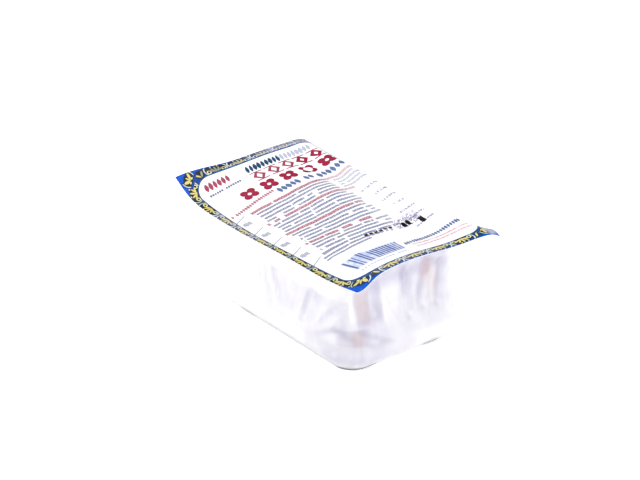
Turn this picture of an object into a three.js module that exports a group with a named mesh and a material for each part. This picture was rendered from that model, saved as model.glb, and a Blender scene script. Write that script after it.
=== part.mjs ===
// A sealed pack of tofu: a deep, soft pocket of clear film that holds the block
// and its water, closed by a larger sheet of printed lidding film whose free rim
// waves, curls and droops. Millimetres, +Z up, origin at the centre of the base.
// +X runs along the pack, -Y is the long side whose rim hangs lowest.
import * as THREE from 'three';

// ---------------------------------------------------------------- driving dimensions

const LID_LENGTH = 155;
const LID_WIDTH = 93;
const LID_CORNER_RADIUS = 1;
const LID_THICKNESS = 0.5;
const FLANGE_THICKNESS = 0.5;
const SEAM_GAP = 0.3; // free air between the two films, so that they never touch
const LID_LEVEL = 56.7; // height of the lid where no swell or droop reaches

// Swells (rise above 0) and droops (rise below 0) of the lid, each a smooth bell:
// centre x and y, reach along x and y, and rise.
const LID_SWELLS = [
  { name: 'near rim droops', x: -32, y: -45, reachX: 64, reachY: 20, rise: -4 },
  { name: 'curled corner', x: -85, y: -44, reachX: 16, reachY: 25, rise: 10.2 },
  { name: 'crest along the far rim', x: -25, y: 34.5, reachX: 36, reachY: 6.5, rise: 5 },
  { name: 'trough over the water gap', x: 42, y: 25, reachX: 18.5, reachY: 16, rise: -4.5 },
  { name: 'front end lifted', x: 81, y: -14, reachX: 36, reachY: 43, rise: 7.3 },
  { name: 'back end lifted', x: -86, y: 19, reachX: 52, reachY: 53, rise: 7.6 },
  { name: 'crown of the block', x: -14, y: 9.5, reachX: 31, reachY: 17, rise: 3.8 },
  { name: 'far front corner turned down', x: 81, y: 49, reachX: 5.5, reachY: 6, rise: -4 },
  { name: 'near front corner hanging', x: 64, y: -44, reachX: 33, reachY: 8, rise: -5 },
  { name: 'front part of the far rim', x: 52, y: 38, reachX: 38, reachY: 21, rise: 5.3 },
];

// The far rim folds down along a line, all the way but for the front corner.
const FAR_FOLD = { line: 40.8, slope: 0.95, softness: 1.2, endX: 66, endReach: 6 };

// Horizontal sections of the filled pocket: height, half sizes, corner radius, and how
// far the section has slid towards +X, because the soft contents lean that way.
const POCKET_SECTIONS = [
  { name: 'foot', height: 0, halfLength: 55, halfWidth: 36, radius: 12, shift: 3 },
  { name: 'belly', height: 10, halfLength: 58.2, halfWidth: 39.4, radius: 16, shift: 3.8 },
  { name: 'waist', height: 27, halfLength: 58.7, halfWidth: 39, radius: 16, shift: 0 },
  { name: 'shoulder', height: 40, halfLength: 60, halfWidth: 40.3, radius: 16, shift: -1.4 },
  { name: 'rim', height: 58, halfLength: 62.6, halfWidth: 39.6, radius: 16, shift: -1.4 },
];

// Creases pressed into the pocket's film: on which wall, from where to where (place along
// the wall, height), half width and depth. The along axis is x on the long walls, y on the ends.
const CREASES = [
  { wall: 'front', from: [0, 47], to: [2, 23], reach: 2.6, depth: 1.5 },
  { wall: 'front', from: [11.5, 46], to: [11, 25], reach: 2.4, depth: 1.3 },
  { wall: 'front', from: [16.5, 46], to: [18, 24], reach: 2.0, depth: 0.9 },
  { wall: 'front', from: [22.5, 44], to: [21.5, 23], reach: 2.4, depth: 1.2 },
  { wall: 'front', from: [-22, 46], to: [-20, 30], reach: 3.0, depth: 1.6 },
  { wall: 'near', from: [-6, 38], to: [-14, 20], reach: 2.6, depth: 1.0 },
  { wall: 'near', from: [1, 37.5], to: [-3, 19], reach: 2.6, depth: 1.4 },
  { wall: 'near', from: [33.5, 38.5], to: [22, 19], reach: 2.8, depth: 1.5 },
  { wall: 'near', from: [53, 34], to: [42, 20], reach: 2.6, depth: 1.2 },
  { wall: 'near', from: [-48, 36], to: [-44, 20], reach: 2.6, depth: 0.8 },
];

// The two walls at the back carry creases of the same kind, spread by a rule.
const BACK_CREASES = [
  { wall: 'far', count: 7, from: -46, to: 44, lean: 7, seed: 11 },
  { wall: 'back', count: 5, from: -24, to: 24, lean: 3, seed: 23 },
];

// Mesh fineness: steps on each long side, each end, each corner arc, and rows of rings.
const STEPS_LONG = 28;
const STEPS_END = 12;
const STEPS_CORNER = 7;
const FLANGE_ROWS = 3;
const TOP_ROWS = 8;
const WALL_ROWS = 13;
const FOOT_ROWS = 4;
const INNERMOST_HALF_WIDTH = 4;
const RIM_FILLET = 2.5; // soft bend where the flange turns down into the wall

// ---------------------------------------------------------------- small maths

const lerp = (a, b, t) => a + (b - a) * t;
const bell = (distance, reach) => Math.exp(-((distance / reach) ** 2));
const softStep = (t) => t * t * (3 - 2 * t);
const clamp01 = (t) => Math.min(1, Math.max(0, t));

// A small repeatable random number generator, 0 to 1.
function seededRandom(seed) {
  let state = seed;
  return () => {
    state = (state * 16807) % 2147483647;
    return state / 2147483647;
  };
}

// ---------------------------------------------------------------- the lid's relief

// How far the far rim has folded down at a point.
function farFoldDrop(x, y) {
  const past = (y - FAR_FOLD.line) / FAR_FOLD.softness;
  const softPast = FAR_FOLD.softness * Math.log(1 + Math.exp(past));
  const along = 1 / (1 + Math.exp((x - FAR_FOLD.endX) / (FAR_FOLD.endReach / 2)));
  return FAR_FOLD.slope * softPast * along;
}

// Height of the lid's printed face above the base.
function lidHeight(x, y) {
  let height = LID_LEVEL;
  for (const swell of LID_SWELLS) {
    height += swell.rise * bell(x - swell.x, swell.reachX) * bell(y - swell.y, swell.reachY);
  }
  return height - farFoldDrop(x, y);
}

// ---------------------------------------------------------------- rings round the pack

// Stations run once round a rounded rectangle, anticlockwise from the middle of the +X end.
// u and v place the arc centre, angle is the outward direction. Station i mirrors N - i in y.
function makeStations() {
  const stations = [];
  const quarter = Math.PI / 2;
  const sides = [
    { steps: STEPS_END, angle: 0, from: [1, -1], to: [1, 1] },
    { steps: STEPS_LONG, angle: quarter, from: [1, 1], to: [-1, 1] },
    { steps: STEPS_END, angle: 2 * quarter, from: [-1, 1], to: [-1, -1] },
    { steps: STEPS_LONG, angle: 3 * quarter, from: [-1, -1], to: [1, -1] },
  ];
  for (const side of sides) {
    for (let i = 0; i < side.steps; i += 1) {
      const t = i / side.steps;
      const u = lerp(side.from[0], side.to[0], t);
      const v = lerp(side.from[1], side.to[1], t);
      stations.push({ u, v, angle: side.angle });
    }
    for (let i = 0; i < STEPS_CORNER; i += 1) {
      const angle = side.angle + (quarter * i) / STEPS_CORNER;
      stations.push({ u: side.to[0], v: side.to[1], angle });
    }
  }
  const start = STEPS_END / 2;
  return [...stations.slice(start), ...stations.slice(0, start)];
}

const STATIONS = makeStations();

// The plan point of a station on a rounded rectangle.
function planPoint(station, size) {
  const x = size.shift + station.u * (size.halfLength - size.radius);
  const y = station.v * (size.halfWidth - size.radius);
  const { radius } = size;
  return [x + radius * Math.cos(station.angle), y + radius * Math.sin(station.angle)];
}

const LID_OUTLINE = {
  halfLength: LID_LENGTH / 2,
  halfWidth: LID_WIDTH / 2,
  radius: LID_CORNER_RADIUS,
  shift: 0,
};
const RIM = POCKET_SECTIONS[POCKET_SECTIONS.length - 1];
const FOOT = POCKET_SECTIONS[0];
const BELLY = POCKET_SECTIONS[1];

function blendSizes(a, b, t) {
  return {
    halfLength: lerp(a.halfLength, b.halfLength, t),
    halfWidth: lerp(a.halfWidth, b.halfWidth, t),
    radius: lerp(a.radius, b.radius, t),
    shift: lerp(a.shift, b.shift, t),
  };
}

function insetSize(size, inset) {
  return {
    halfLength: size.halfLength - inset,
    halfWidth: size.halfWidth - inset,
    radius: Math.max(size.radius - inset, INNERMOST_HALF_WIDTH / 2),
    shift: size.shift,
  };
}

// Plan sizes of the lid's rings: the outer edge, the flange, the rim and on to the middle.
function lidRingSizes() {
  const sizes = [];
  for (let row = 0; row < FLANGE_ROWS; row += 1) {
    sizes.push(blendSizes(LID_OUTLINE, RIM, row / FLANGE_ROWS));
  }
  const deepest = RIM.halfWidth - INNERMOST_HALF_WIDTH;
  for (let row = 0; row <= TOP_ROWS; row += 1) {
    sizes.push(insetSize(RIM, (deepest * row) / TOP_ROWS));
  }
  return sizes;
}

// A ring of points that follows the lid's relief, a given depth below its printed face.
function lidRing(size, depth) {
  return STATIONS.map((station) => {
    const [x, y] = planPoint(station, size);
    return [x, y, lidHeight(x, y) - depth];
  });
}

// ---------------------------------------------------------------- the pocket's wall

const WALL_SECTIONS = POCKET_SECTIONS.slice(1);

// Slope of one measure at a wall section, from its neighbours.
function sectionSlope(index, measure) {
  const low = WALL_SECTIONS[Math.max(index - 1, 0)];
  const high = WALL_SECTIONS[Math.min(index + 1, WALL_SECTIONS.length - 1)];
  return (high[measure] - low[measure]) / (high.height - low.height);
}

// Size of the pocket at a nominal height: smooth curves through the named sections.
function pocketSize(height) {
  let index = 0;
  while (index < WALL_SECTIONS.length - 2 && height > WALL_SECTIONS[index + 1].height) {
    index += 1;
  }
  const low = WALL_SECTIONS[index];
  const high = WALL_SECTIONS[index + 1];
  const span = high.height - low.height;
  const t = clamp01((height - low.height) / span);
  const size = {};
  for (const measure of ['halfLength', 'halfWidth', 'radius', 'shift']) {
    const eased = softStep(t);
    const lowLean = t * (1 - t) ** 2 * span * sectionSlope(index, measure);
    const highLean = t * t * (t - 1) * span * sectionSlope(index + 1, measure);
    size[measure] = lerp(low[measure], high[measure], eased) + lowLean + highLean;
  }
  return size;
}

const WALL_DIRECTIONS = {
  front: { normal: [1, 0], along: 1 },
  back: { normal: [-1, 0], along: 1 },
  near: { normal: [0, -1], along: 0 },
  far: { normal: [0, 1], along: 0 },
};

function spreadCreases({ wall, count, from, to, lean, seed }) {
  const random = seededRandom(seed);
  const creases = [];
  for (let i = 0; i < count; i += 1) {
    const along = lerp(from, to, (i + 0.3 + 0.4 * random()) / count);
    const top = 36 + 9 * random();
    const bottom = 18 + 7 * random();
    const drift = lean * (random() - 0.5) * 2;
    const reach = 2.2 + 0.8 * random();
    const depth = 0.8 + 0.7 * random();
    creases.push({ wall, from: [along, top], to: [along + drift, bottom], reach, depth });
  }
  return creases;
}

const ALL_CREASES = [...CREASES, ...BACK_CREASES.flatMap(spreadCreases)];

// Distance in the wall's own plane from a point to a crease's line.
function creaseDistance(crease, along, height) {
  const [startAlong, startHeight] = crease.from;
  const runAlong = crease.to[0] - startAlong;
  const runHeight = crease.to[1] - startHeight;
  const lengthSquared = runAlong ** 2 + runHeight ** 2;
  const offsetAlong = along - startAlong;
  const offsetHeight = height - startHeight;
  const t = clamp01((offsetAlong * runAlong + offsetHeight * runHeight) / lengthSquared);
  return Math.hypot(offsetAlong - t * runAlong, offsetHeight - t * runHeight);
}

// How far the film stands out (or is pressed in, below 0) at a point of the wall.
function wallRelief(x, y, height, angle) {
  let relief = 0;
  for (const crease of ALL_CREASES) {
    const { normal, along } = WALL_DIRECTIONS[crease.wall];
    const facing = normal[0] * Math.cos(angle) + normal[1] * Math.sin(angle);
    if (facing > 0) {
      const distance = creaseDistance(crease, along === 0 ? x : y, height);
      relief -= facing * crease.depth * bell(distance, crease.reach);
    }
  }
  return relief;
}

// One point of the pocket's wall: fall 0 is at the flange, 1 at the belly.
function wallPoint(station, fall) {
  const [rimX, rimY] = planPoint(station, RIM);
  const top = lidHeight(rimX, rimY) - UNDERSIDE_DEPTH - RIM_FILLET;
  const height = lerp(top, BELLY.height, fall);
  const nominal = lerp(RIM.height, BELLY.height, fall);
  const [x, y] = planPoint(station, pocketSize(nominal));
  const relief = wallRelief(x, y, height, station.angle);
  return [x + relief * Math.cos(station.angle), y + relief * Math.sin(station.angle), height];
}

// Rings from the belly round to the flat foot, a quarter of an ellipse in section.
function footRing(row) {
  const turn = (Math.PI / 2) * (row / FOOT_ROWS);
  const size = blendSizes(FOOT, BELLY, Math.cos(turn));
  const height = BELLY.height * (1 - Math.sin(turn));
  return STATIONS.map((station) => [...planPoint(station, size), height]);
}

// ---------------------------------------------------------------- closed bodies from rings

// Joins the rings of a top face and of an underside in order, then closes both ends with
// strips across the pack. Rings run outwards on top and inwards below, so the underside's
// quads are split the other way: faces that lie over each other are then split alike.
function bodyFromRings(topRings, undersideRings) {
  const count = STATIONS.length;
  const rings = [...topRings, ...undersideRings];
  const positions = rings.flat(2);
  const indices = [];
  for (let row = 0; row + 1 < rings.length; row += 1) {
    const here = row * count;
    const below = here + count;
    for (let i = 0; i < count; i += 1) {
      const next = (i + 1) % count;
      const [a, b, c, d] = [here + i, below + i, below + next, here + next];
      if (row < topRings.length) {
        indices.push(a, b, c, a, c, d);
      } else {
        indices.push(a, b, d, b, c, d);
      }
    }
  }
  const closeAcross = (base, facingUp) => {
    const strip = (...corners) => {
      const turned = facingUp ? corners : [...corners].reverse();
      for (let i = 1; i + 1 < turned.length; i += 1) {
        indices.push(base + turned[0], base + turned[i], base + turned[i + 1]);
      }
    };
    const half = count / 2;
    strip(0, 1, count - 1);
    for (let i = 1; i + 1 < half; i += 1) {
      strip(i, i + 1, count - i - 1, count - i);
    }
    strip(half - 1, half, half + 1);
  };
  closeAcross(0, true);
  closeAcross((rings.length - 1) * count, false);
  const geometry = new THREE.BufferGeometry();
  geometry.setAttribute('position', new THREE.Float32BufferAttribute(positions, 3));
  geometry.setIndex(indices);
  geometry.computeVertexNormals();
  return geometry;
}

// ---------------------------------------------------------------- the two films

const FLANGE_TOP_DEPTH = LID_THICKNESS + SEAM_GAP;
const UNDERSIDE_DEPTH = FLANGE_TOP_DEPTH + FLANGE_THICKNESS;

// The printed sheet: rings out from the middle on its face, and back in on its underside.
function makePrintedLid() {
  const outward = lidRingSizes().reverse();
  const face = outward.map((size) => lidRing(size, 0));
  const underside = lidRingSizes().map((size) => lidRing(size, LID_THICKNESS));
  return bodyFromRings(face, underside);
}

// The filled pocket with its flange: top face out to the flange's edge, the flange's
// underside back in to the bend, then the wall, the rounded belly and the flat foot.
function makeFilmPocket() {
  const top = lidRingSizes().reverse().map((size) => lidRing(size, FLANGE_TOP_DEPTH));
  const bend = blendSizes(RIM, LID_OUTLINE, RIM_FILLET / (LID_OUTLINE.halfWidth - RIM.halfWidth));
  const underside = [];
  for (let row = 0; row < FLANGE_ROWS; row += 1) {
    underside.push(lidRing(blendSizes(LID_OUTLINE, bend, row / (FLANGE_ROWS - 1)), UNDERSIDE_DEPTH));
  }
  const walls = [];
  for (let row = 0; row < WALL_ROWS; row += 1) {
    walls.push(STATIONS.map((station) => wallPoint(station, row / WALL_ROWS)));
  }
  const foot = [];
  for (let row = 0; row <= FOOT_ROWS; row += 1) {
    foot.push(footRing(row));
  }
  const solePatch = insetSize(FOOT, FOOT.halfWidth - INNERMOST_HALF_WIDTH);
  foot.push(STATIONS.map((station) => [...planPoint(station, solePatch), 0]));
  return bodyFromRings(top, [...underside, ...walls, ...foot]);
}

function namedMesh(name, geometry, color, roughness) {
  const material = new THREE.MeshStandardMaterial({ color, roughness, metalness: 0 });
  const mesh = new THREE.Mesh(geometry, material);
  mesh.name = name;
  return mesh;
}

const tofuPack = new THREE.Group();
tofuPack.add(namedMesh('printed_lid', makePrintedLid(), 0x2f63b8, 0.35));
tofuPack.add(namedMesh('film_pocket', makeFilmPocket(), 0xf1eff2, 0.25));

export default tofuPack;
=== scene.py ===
# %% [markdown]
# # A sealed pack of tofu
#
# A block of tofu lies with a little water in a deep, soft pocket of clear film. A larger
# rectangle of printed lidding film is sealed over the pocket, and its free rim waves, curls and
# droops. This notebook dresses the CAD frame of that pack: it makes the lid, its print, the clear
# film, the block and the water, one after the other, and then hangs them on the frame.

import bpy
import numpy as np
from mathutils import Matrix, Vector


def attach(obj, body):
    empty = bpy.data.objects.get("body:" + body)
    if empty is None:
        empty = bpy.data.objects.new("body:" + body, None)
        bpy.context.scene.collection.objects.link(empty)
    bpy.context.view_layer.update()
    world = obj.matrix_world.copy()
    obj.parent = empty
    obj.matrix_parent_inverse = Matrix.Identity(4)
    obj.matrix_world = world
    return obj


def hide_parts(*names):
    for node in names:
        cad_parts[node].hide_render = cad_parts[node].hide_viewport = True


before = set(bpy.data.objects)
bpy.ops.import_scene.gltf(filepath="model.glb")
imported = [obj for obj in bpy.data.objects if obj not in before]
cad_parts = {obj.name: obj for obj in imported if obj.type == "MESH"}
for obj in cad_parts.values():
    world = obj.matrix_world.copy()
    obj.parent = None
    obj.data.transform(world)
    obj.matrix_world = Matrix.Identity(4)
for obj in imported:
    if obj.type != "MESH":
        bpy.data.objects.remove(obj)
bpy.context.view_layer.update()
MM = 0.001

# %% [markdown]
# ## Camera
#
# The camera is a long lens that looks down on the pack's near long side and its front end. Its
# place is worked out from two angles and a distance, because angles are easier to picture and to
# adjust than coordinates. The camera's own axes are built from the direction it looks back along.

# %% Place the camera
CAMERA_AZIMUTH = np.radians(52.59)      # turned from the near long side towards the front end
CAMERA_ELEVATION = np.radians(25.90)
CAMERA_ROLL = np.radians(-0.85)
CAMERA_DISTANCE = 1053.0 * MM
AIM_HEIGHT = 36.17 * MM
AIM_RIGHT = -7.19 * MM
AIM_UP = 4.90 * MM
FOCAL_PIXELS = 2008.0                   # focal length in pixels of a picture 640 pixels wide
PICTURE_WIDTH = 640

backwards = Vector((np.sin(CAMERA_AZIMUTH) * np.cos(CAMERA_ELEVATION),
                    -np.cos(CAMERA_AZIMUTH) * np.cos(CAMERA_ELEVATION),
                    np.sin(CAMERA_ELEVATION)))
level_right = Vector((0, 0, 1)).cross(backwards).normalized()
level_up = backwards.cross(level_right)
cam_x = level_right * np.cos(CAMERA_ROLL) + level_up * np.sin(CAMERA_ROLL)
cam_y = level_up * np.cos(CAMERA_ROLL) - level_right * np.sin(CAMERA_ROLL)
aim = level_right * AIM_RIGHT + level_up * AIM_UP + Vector((0, 0, AIM_HEIGHT))
place = aim + backwards * CAMERA_DISTANCE

camera_data = bpy.data.cameras.new("camera")
camera_data.sensor_width = 36.0
camera_data.lens = FOCAL_PIXELS * camera_data.sensor_width / PICTURE_WIDTH
camera = bpy.data.objects.new("camera", camera_data)
bpy.context.collection.objects.link(camera)
turned = Matrix((cam_x, cam_y, backwards)).transposed().to_4x4()
camera.matrix_world = Matrix.Translation(place) @ turned
bpy.context.scene.camera = camera
print("camera at", [round(v, 4) for v in place], "lens", round(camera_data.lens, 2), "mm")

# %% [markdown]
# ## Node trees as sums
#
# Shaders and Geometry Nodes both have Math nodes. Writing them one by one hides the formula, so
# one small class wraps an output socket and turns +, -, * and / into Math nodes. The same Python
# function can then be fed with sockets or with NumPy arrays, which is how the lid's shape is
# written once and used for two pieces.

# %% A socket that can be used in sums
class Value:
    """An output socket of a node tree; sums with it add Math nodes to that tree."""

    def __init__(self, tree, socket=None):
        self.tree, self.socket = tree, socket

    def node(self, kind, settings=None, inputs=None, output=0):
        """Adds any node: its settings first, then the values or links of its sockets."""
        made = self.tree.nodes.new(kind)
        for name, setting in (settings or {}).items():
            if name == "stops":
                ramp = made.color_ramp
                while len(ramp.elements) < len(setting):
                    ramp.elements.new(0.5)
                for element, (position, colour) in zip(ramp.elements, setting):
                    element.position, element.color = position, colour
            else:
                setattr(made, name, setting)
        for name, given in (inputs or {}).items():
            if isinstance(given, Value):
                self.tree.links.new(given.socket, made.inputs[name])
            else:
                made.inputs[name].default_value = given
        return Value(self.tree, made.outputs[output]) if made.outputs else None

    def output(self, name):
        """Another output of the node that this value comes from."""
        return Value(self.tree, self.socket.node.outputs[name])

    def maths(self, operation, *others, clamp=False):
        inputs = dict(enumerate((self, *others)))
        return self.node("ShaderNodeMath", {"operation": operation, "use_clamp": clamp}, inputs)

    def __add__(self, other): return self.maths("ADD", other)
    def __sub__(self, other): return self.maths("SUBTRACT", other)
    def __mul__(self, other): return self.maths("MULTIPLY", other)
    def __truediv__(self, other): return self.maths("DIVIDE", other)
    def __neg__(self): return self.maths("MULTIPLY", -1.0)
    def __abs__(self): return self.maths("ABSOLUTE")
    def __gt__(self, other): return self.maths("GREATER_THAN", other)
    def __rsub__(self, other): return (-self).maths("ADD", other)
    def __rtruediv__(self, other): return self.maths("POWER", -1.0).maths("MULTIPLY", other)
    __radd__, __rmul__ = __add__, __mul__


def exponential(v): return v.maths("EXPONENT") if isinstance(v, Value) else np.exp(v)
def logarithm(v): return v.maths("LOGARITHM", float(np.e)) if isinstance(v, Value) else np.log(v)
def sine(v): return v.maths("SINE") if isinstance(v, Value) else np.sin(v)


print("sums of sockets ready")

# %% [markdown]
# ## The lid's shape as one formula
#
# The lid is a thin sheet that is nearly flat, so its height over each point of its plan says it
# all. Each swell or droop is a smooth bell, and the fold of the far rim is a soft ramp. All
# lengths in this cell are millimetres, and the values are those of the CAD model, so the dressed
# sheet lies where the CAD sheet does.

# %% Height of the lid over a point
LID_LENGTH, LID_WIDTH, LID_LEVEL = 155.0, 93.0, 56.7
LID_SWELLS = {                       # centre x and y, reach along x and y, rise
    "near rim droops": (-32, -45, 64, 20, -4),
    "curled corner": (-85, -44, 16, 25, 10.2),
    "crest along the far rim": (-25, 34.5, 36, 6.5, 5),
    "trough over the water gap": (42, 25, 18.5, 16, -4.5),
    "front end lifted": (81, -14, 36, 43, 7.3),
    "back end lifted": (-86, 19, 52, 53, 7.6),
    "crown of the block": (-14, 9.5, 31, 17, 3.8),
    "far front corner turned down": (81, 49, 5.5, 6, -4),
    "near front corner hanging": (64, -44, 33, 8, -5),
    "front part of the far rim": (52, 38, 38, 21, 5.3),
}
FOLD_LINE, FOLD_SLOPE, FOLD_SOFTNESS, FOLD_END, FOLD_END_REACH = 40.8, 0.95, 1.2, 66.0, 6.0


def past_the_fold(x, y):
    """How far a point is past the far rim's fold line, fading to nothing at the front corner."""
    past = FOLD_SOFTNESS * logarithm(1 + exponential((y - FOLD_LINE) / FOLD_SOFTNESS))
    return past / (1 + exponential((x - FOLD_END) / (FOLD_END_REACH / 2)))


def with_bells(height, bells, x, y):
    for centre_x, centre_y, reach_x, reach_y, rise in bells.values():
        u, v = (x - centre_x) / reach_x, (y - centre_y) / reach_y
        height = height + rise * exponential(-(u * u + v * v))
    return height


def lid_height(x, y):
    return with_bells(LID_LEVEL - FOLD_SLOPE * past_the_fold(x, y), LID_SWELLS, x, y)


for corner in np.array([(-1, -1), (1, -1), (1, 1), (-1, 1)]) * (LID_LENGTH / 2, LID_WIDTH / 2):
    print("lid height at", corner, "is", round(float(lid_height(*corner)), 2), "mm")

# %% [markdown]
# Inside its sealed rim the lid also has small tucks, where it pulls tight over the edges of the
# block. They belong to the sheet alone, and they die out before the rim, where the sheet and the
# pocket's flange have to stay together.

# %% Small tucks of the sheet
TUCK_REACH = (66.0, 38.0)                            # half axes of the oval that holds the tucks
LID_TUCKS = {
    "tuck along the block's far edge": (-40, 18.5, 26, 2.4, -0.6),
    "soft wave over the block": (-52, -12, 9, 18, 0.35),
    "soft wave before the front end": (36, -16, 7, 22, -0.45),
    "pull towards the near rim": (6, -30, 5, 9, 0.35),
}


def lid_tucks(x, y):
    ripples = 0.16 * sine(x * 0.42 + y * 0.23) * sine(y * 0.31 - x * 0.11 + 1.0)
    outside = x * x / TUCK_REACH[0] ** 2 + y * y / TUCK_REACH[1] ** 2 - 1
    return with_bells(ripples, LID_TUCKS, x, y) * (1 / (1 + exponential(outside * 9)))


print("tuck at the middle:", round(float(lid_tucks(*np.zeros(2))), 3), "mm")

# %% [markdown]
# ## The lidding film, with Geometry Nodes
#
# A grid becomes the sheet's underside, one Set Position node gives it the height of the formula,
# and an extrusion gives it its thickness. This could be done in mesh code too, but the shape
# follows a rule, and as a node tree its length, width and thickness stay named inputs. The place
# on the flat print is kept in a UV map before the grid is bent, and stretched a little past the
# fold, where the sheet runs downhill.

# %% Build the sheet's node tree
def new_geometry_tree(name, inputs):
    tree = bpy.data.node_groups.new(name, "GeometryNodeTree")
    identifiers = {}
    for label, kind in inputs.items():
        item = tree.interface.new_socket(name=label, in_out="INPUT", socket_type=kind)
        identifiers[label] = item.identifier
    tree.interface.new_socket(name="Geometry", in_out="OUTPUT", socket_type="NodeSocketGeometry")
    return tree, Value(tree), identifiers


sheet_tree, sheet, sheet_inputs = new_geometry_tree("lidding sheet", {
    "Length": "NodeSocketFloat", "Width": "NodeSocketFloat", "Thickness": "NodeSocketFloat",
    "Points along": "NodeSocketInt", "Points across": "NodeSocketInt",
    "Printed face": "NodeSocketMaterial", "Back": "NodeSocketMaterial"})
given = sheet.node("NodeGroupInput")

grid = sheet.node("GeometryNodeMeshGrid", inputs={
    "Size X": given.output("Length"), "Size Y": given.output("Width"),
    "Vertices X": given.output("Points along"), "Vertices Y": given.output("Points across")})
place_on_plan = sheet.node("GeometryNodeInputPosition")
split = sheet.node("ShaderNodeSeparateXYZ", inputs={0: place_on_plan})
x_mm, y_mm = split.output("X") / MM, split.output("Y") / MM

DOWNHILL = float(np.hypot(1, FOLD_SLOPE) - 1)         # extra sheet per millimetre past the fold
extra = past_the_fold(x_mm, y_mm) * DOWNHILL
eased = (y_mm + LID_WIDTH / 2) / LID_WIDTH
print_x = x_mm / LID_LENGTH + 0.5
print_y = (y_mm + extra - eased * eased * 2.0) / LID_WIDTH + 0.5
flat_place = sheet.node("ShaderNodeCombineXYZ", inputs={"X": print_x, "Y": print_y})
marked = sheet.node("GeometryNodeStoreNamedAttribute", {"data_type": "FLOAT2", "domain": "CORNER"},
                    {"Geometry": grid, "Name": "print", "Value": flat_place})

top_height = (lid_height(x_mm, y_mm) + lid_tucks(x_mm, y_mm)) * MM
lift = sheet.node("ShaderNodeCombineXYZ", inputs={"Z": top_height - given.output("Thickness")})
bent = sheet.node("GeometryNodeSetPosition", inputs={"Geometry": marked, "Offset": lift})
thick = sheet.node("ShaderNodeCombineXYZ", inputs={"Z": given.output("Thickness")})
raised = sheet.node("GeometryNodeExtrudeMesh", {"mode": "FACES"}, {
    "Mesh": bent, "Offset": thick, "Offset Scale": 1.0, "Individual": False})
back = sheet.node("GeometryNodeFlipFaces", inputs={"Mesh": bent})
joined = sheet.node("GeometryNodeJoinGeometry", inputs={"Geometry": raised})
sheet_tree.links.new(back.socket, joined.socket.node.inputs["Geometry"])
print("sheet tree has", len(sheet_tree.nodes), "nodes so far")

# %% [markdown]
# The two copies of the grid are welded along the rim, which closes the sheet, and the tree ends by
# giving the upward faces the printed finish and all the others the plain back. The modifier's
# inputs are set by their identifiers before the object is evaluated, and the result is kept as a
# plain mesh.

# %% Finish the tree and make the sheet
def new_surface(name, settings):
    """A material with one Principled shader, whose constant settings are given by socket name."""
    material = bpy.data.materials.new(name)
    material.use_nodes = True
    material.node_tree.nodes.clear()
    graph = Value(material.node_tree)
    graph.shader = graph.node("ShaderNodeBsdfPrincipled", inputs=settings)
    graph.node("ShaderNodeOutputMaterial", inputs={"Surface": graph.shader})
    return material, graph


def feed(graph, values):
    """Links values to the shader of a surface, by the names of its sockets."""
    for name, value in values.items():
        graph.tree.links.new(value.socket, graph.shader.socket.node.inputs[name])


def attribute(graph, name):
    return graph.node("ShaderNodeAttribute", {"attribute_name": name}, output="Fac")


def texture(graph, scale, detail, **more):
    """Noise in the object's own space, with `scale` spots to the metre."""
    where = graph.node("ShaderNodeTexCoord").output("Object")
    inputs = {"Vector": where, "Scale": scale, "Detail": detail, **more}
    return graph.node("ShaderNodeTexNoise", inputs=inputs)


def bumps(graph, strength, distance, height):
    return graph.node("ShaderNodeBump", inputs={
        "Strength": strength, "Distance": distance * MM, "Height": height})


print_film, print_graph = new_surface("printed_film_face", {"IOR": 1.5, "Specular IOR Level": 0.08})
back_film, _ = new_surface("printed_film_back", {
    "Base Color": (0.86, 0.86, 0.88, 1), "Roughness": 0.38, "IOR": 1.5})

WELD = 0.01 * MM
welded = joined.node("GeometryNodeMergeByDistance", inputs={"Geometry": joined, "Distance": WELD})
smooth = welded.node("GeometryNodeSetShadeSmooth", inputs={"Geometry": welded})
real = smooth.node("GeometryNodeRealizeInstances", inputs={"Geometry": smooth})
all_back = real.node("GeometryNodeSetMaterial", inputs={
    "Geometry": real, "Material": given.output("Back")})
facing = sheet.node("ShaderNodeSeparateXYZ", inputs={0: sheet.node("GeometryNodeInputNormal")})
upward = facing.output("Z").maths("GREATER_THAN", 0.2)
dressed = all_back.node("GeometryNodeSetMaterial", inputs={
    "Geometry": all_back, "Selection": upward, "Material": given.output("Printed face")})
dressed.node("NodeGroupOutput", inputs={0: dressed})


def run_tree(name, tree, identifiers, values):
    """Evaluates a tree on an empty object and keeps the result as a plain mesh."""
    host = bpy.data.objects.new(name, bpy.data.meshes.new(name + "_host"))
    bpy.context.collection.objects.link(host)
    modifier = host.modifiers.new("shape", "NODES")
    modifier.node_group = tree
    for label, value in values.items():
        modifier[identifiers[label]] = value
    evaluated = host.evaluated_get(bpy.context.evaluated_depsgraph_get())
    mesh = bpy.data.meshes.new_from_object(evaluated)
    while mesh.materials and mesh.materials[0] is None:
        mesh.materials.pop(index=0)
    host.modifiers.remove(modifier)
    host.data = mesh
    mesh.name = name
    return host


LID_FILM = 0.25                                     # thickness of the lidding film, in millimetres
lid = run_tree("lidding_film", sheet_tree, sheet_inputs, {
    "Length": LID_LENGTH * MM, "Width": LID_WIDTH * MM, "Thickness": LID_FILM * MM,
    "Points along": 191, "Points across": 137, "Printed face": print_film, "Back": back_film})
lid.data.set_sharp_from_angle(angle=np.radians(50))
print("lid:", len(lid.data.polygons), "faces in", [m.name for m in lid.data.materials],
      np.bincount([p.material_index for p in lid.data.polygons]))

# %% [markdown]
# ## The print
#
# The print is a drawing in millimetres on the flat sheet, made of masks: a mask is 1 inside a
# shape and 0 outside it, with a soft edge about as wide as ink spreads. Two helpers make most of
# it, a smooth ramp and a stretch between two lines, and a third lays an ink over what is there.

# %% Masks and inks
INK_EDGE = 0.16


def ramp(v, low, high):
    return v.node("ShaderNodeMapRange", {"interpolation_type": "SMOOTHSTEP"},
                  {"Value": v, "From Min": low, "From Max": high})


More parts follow.
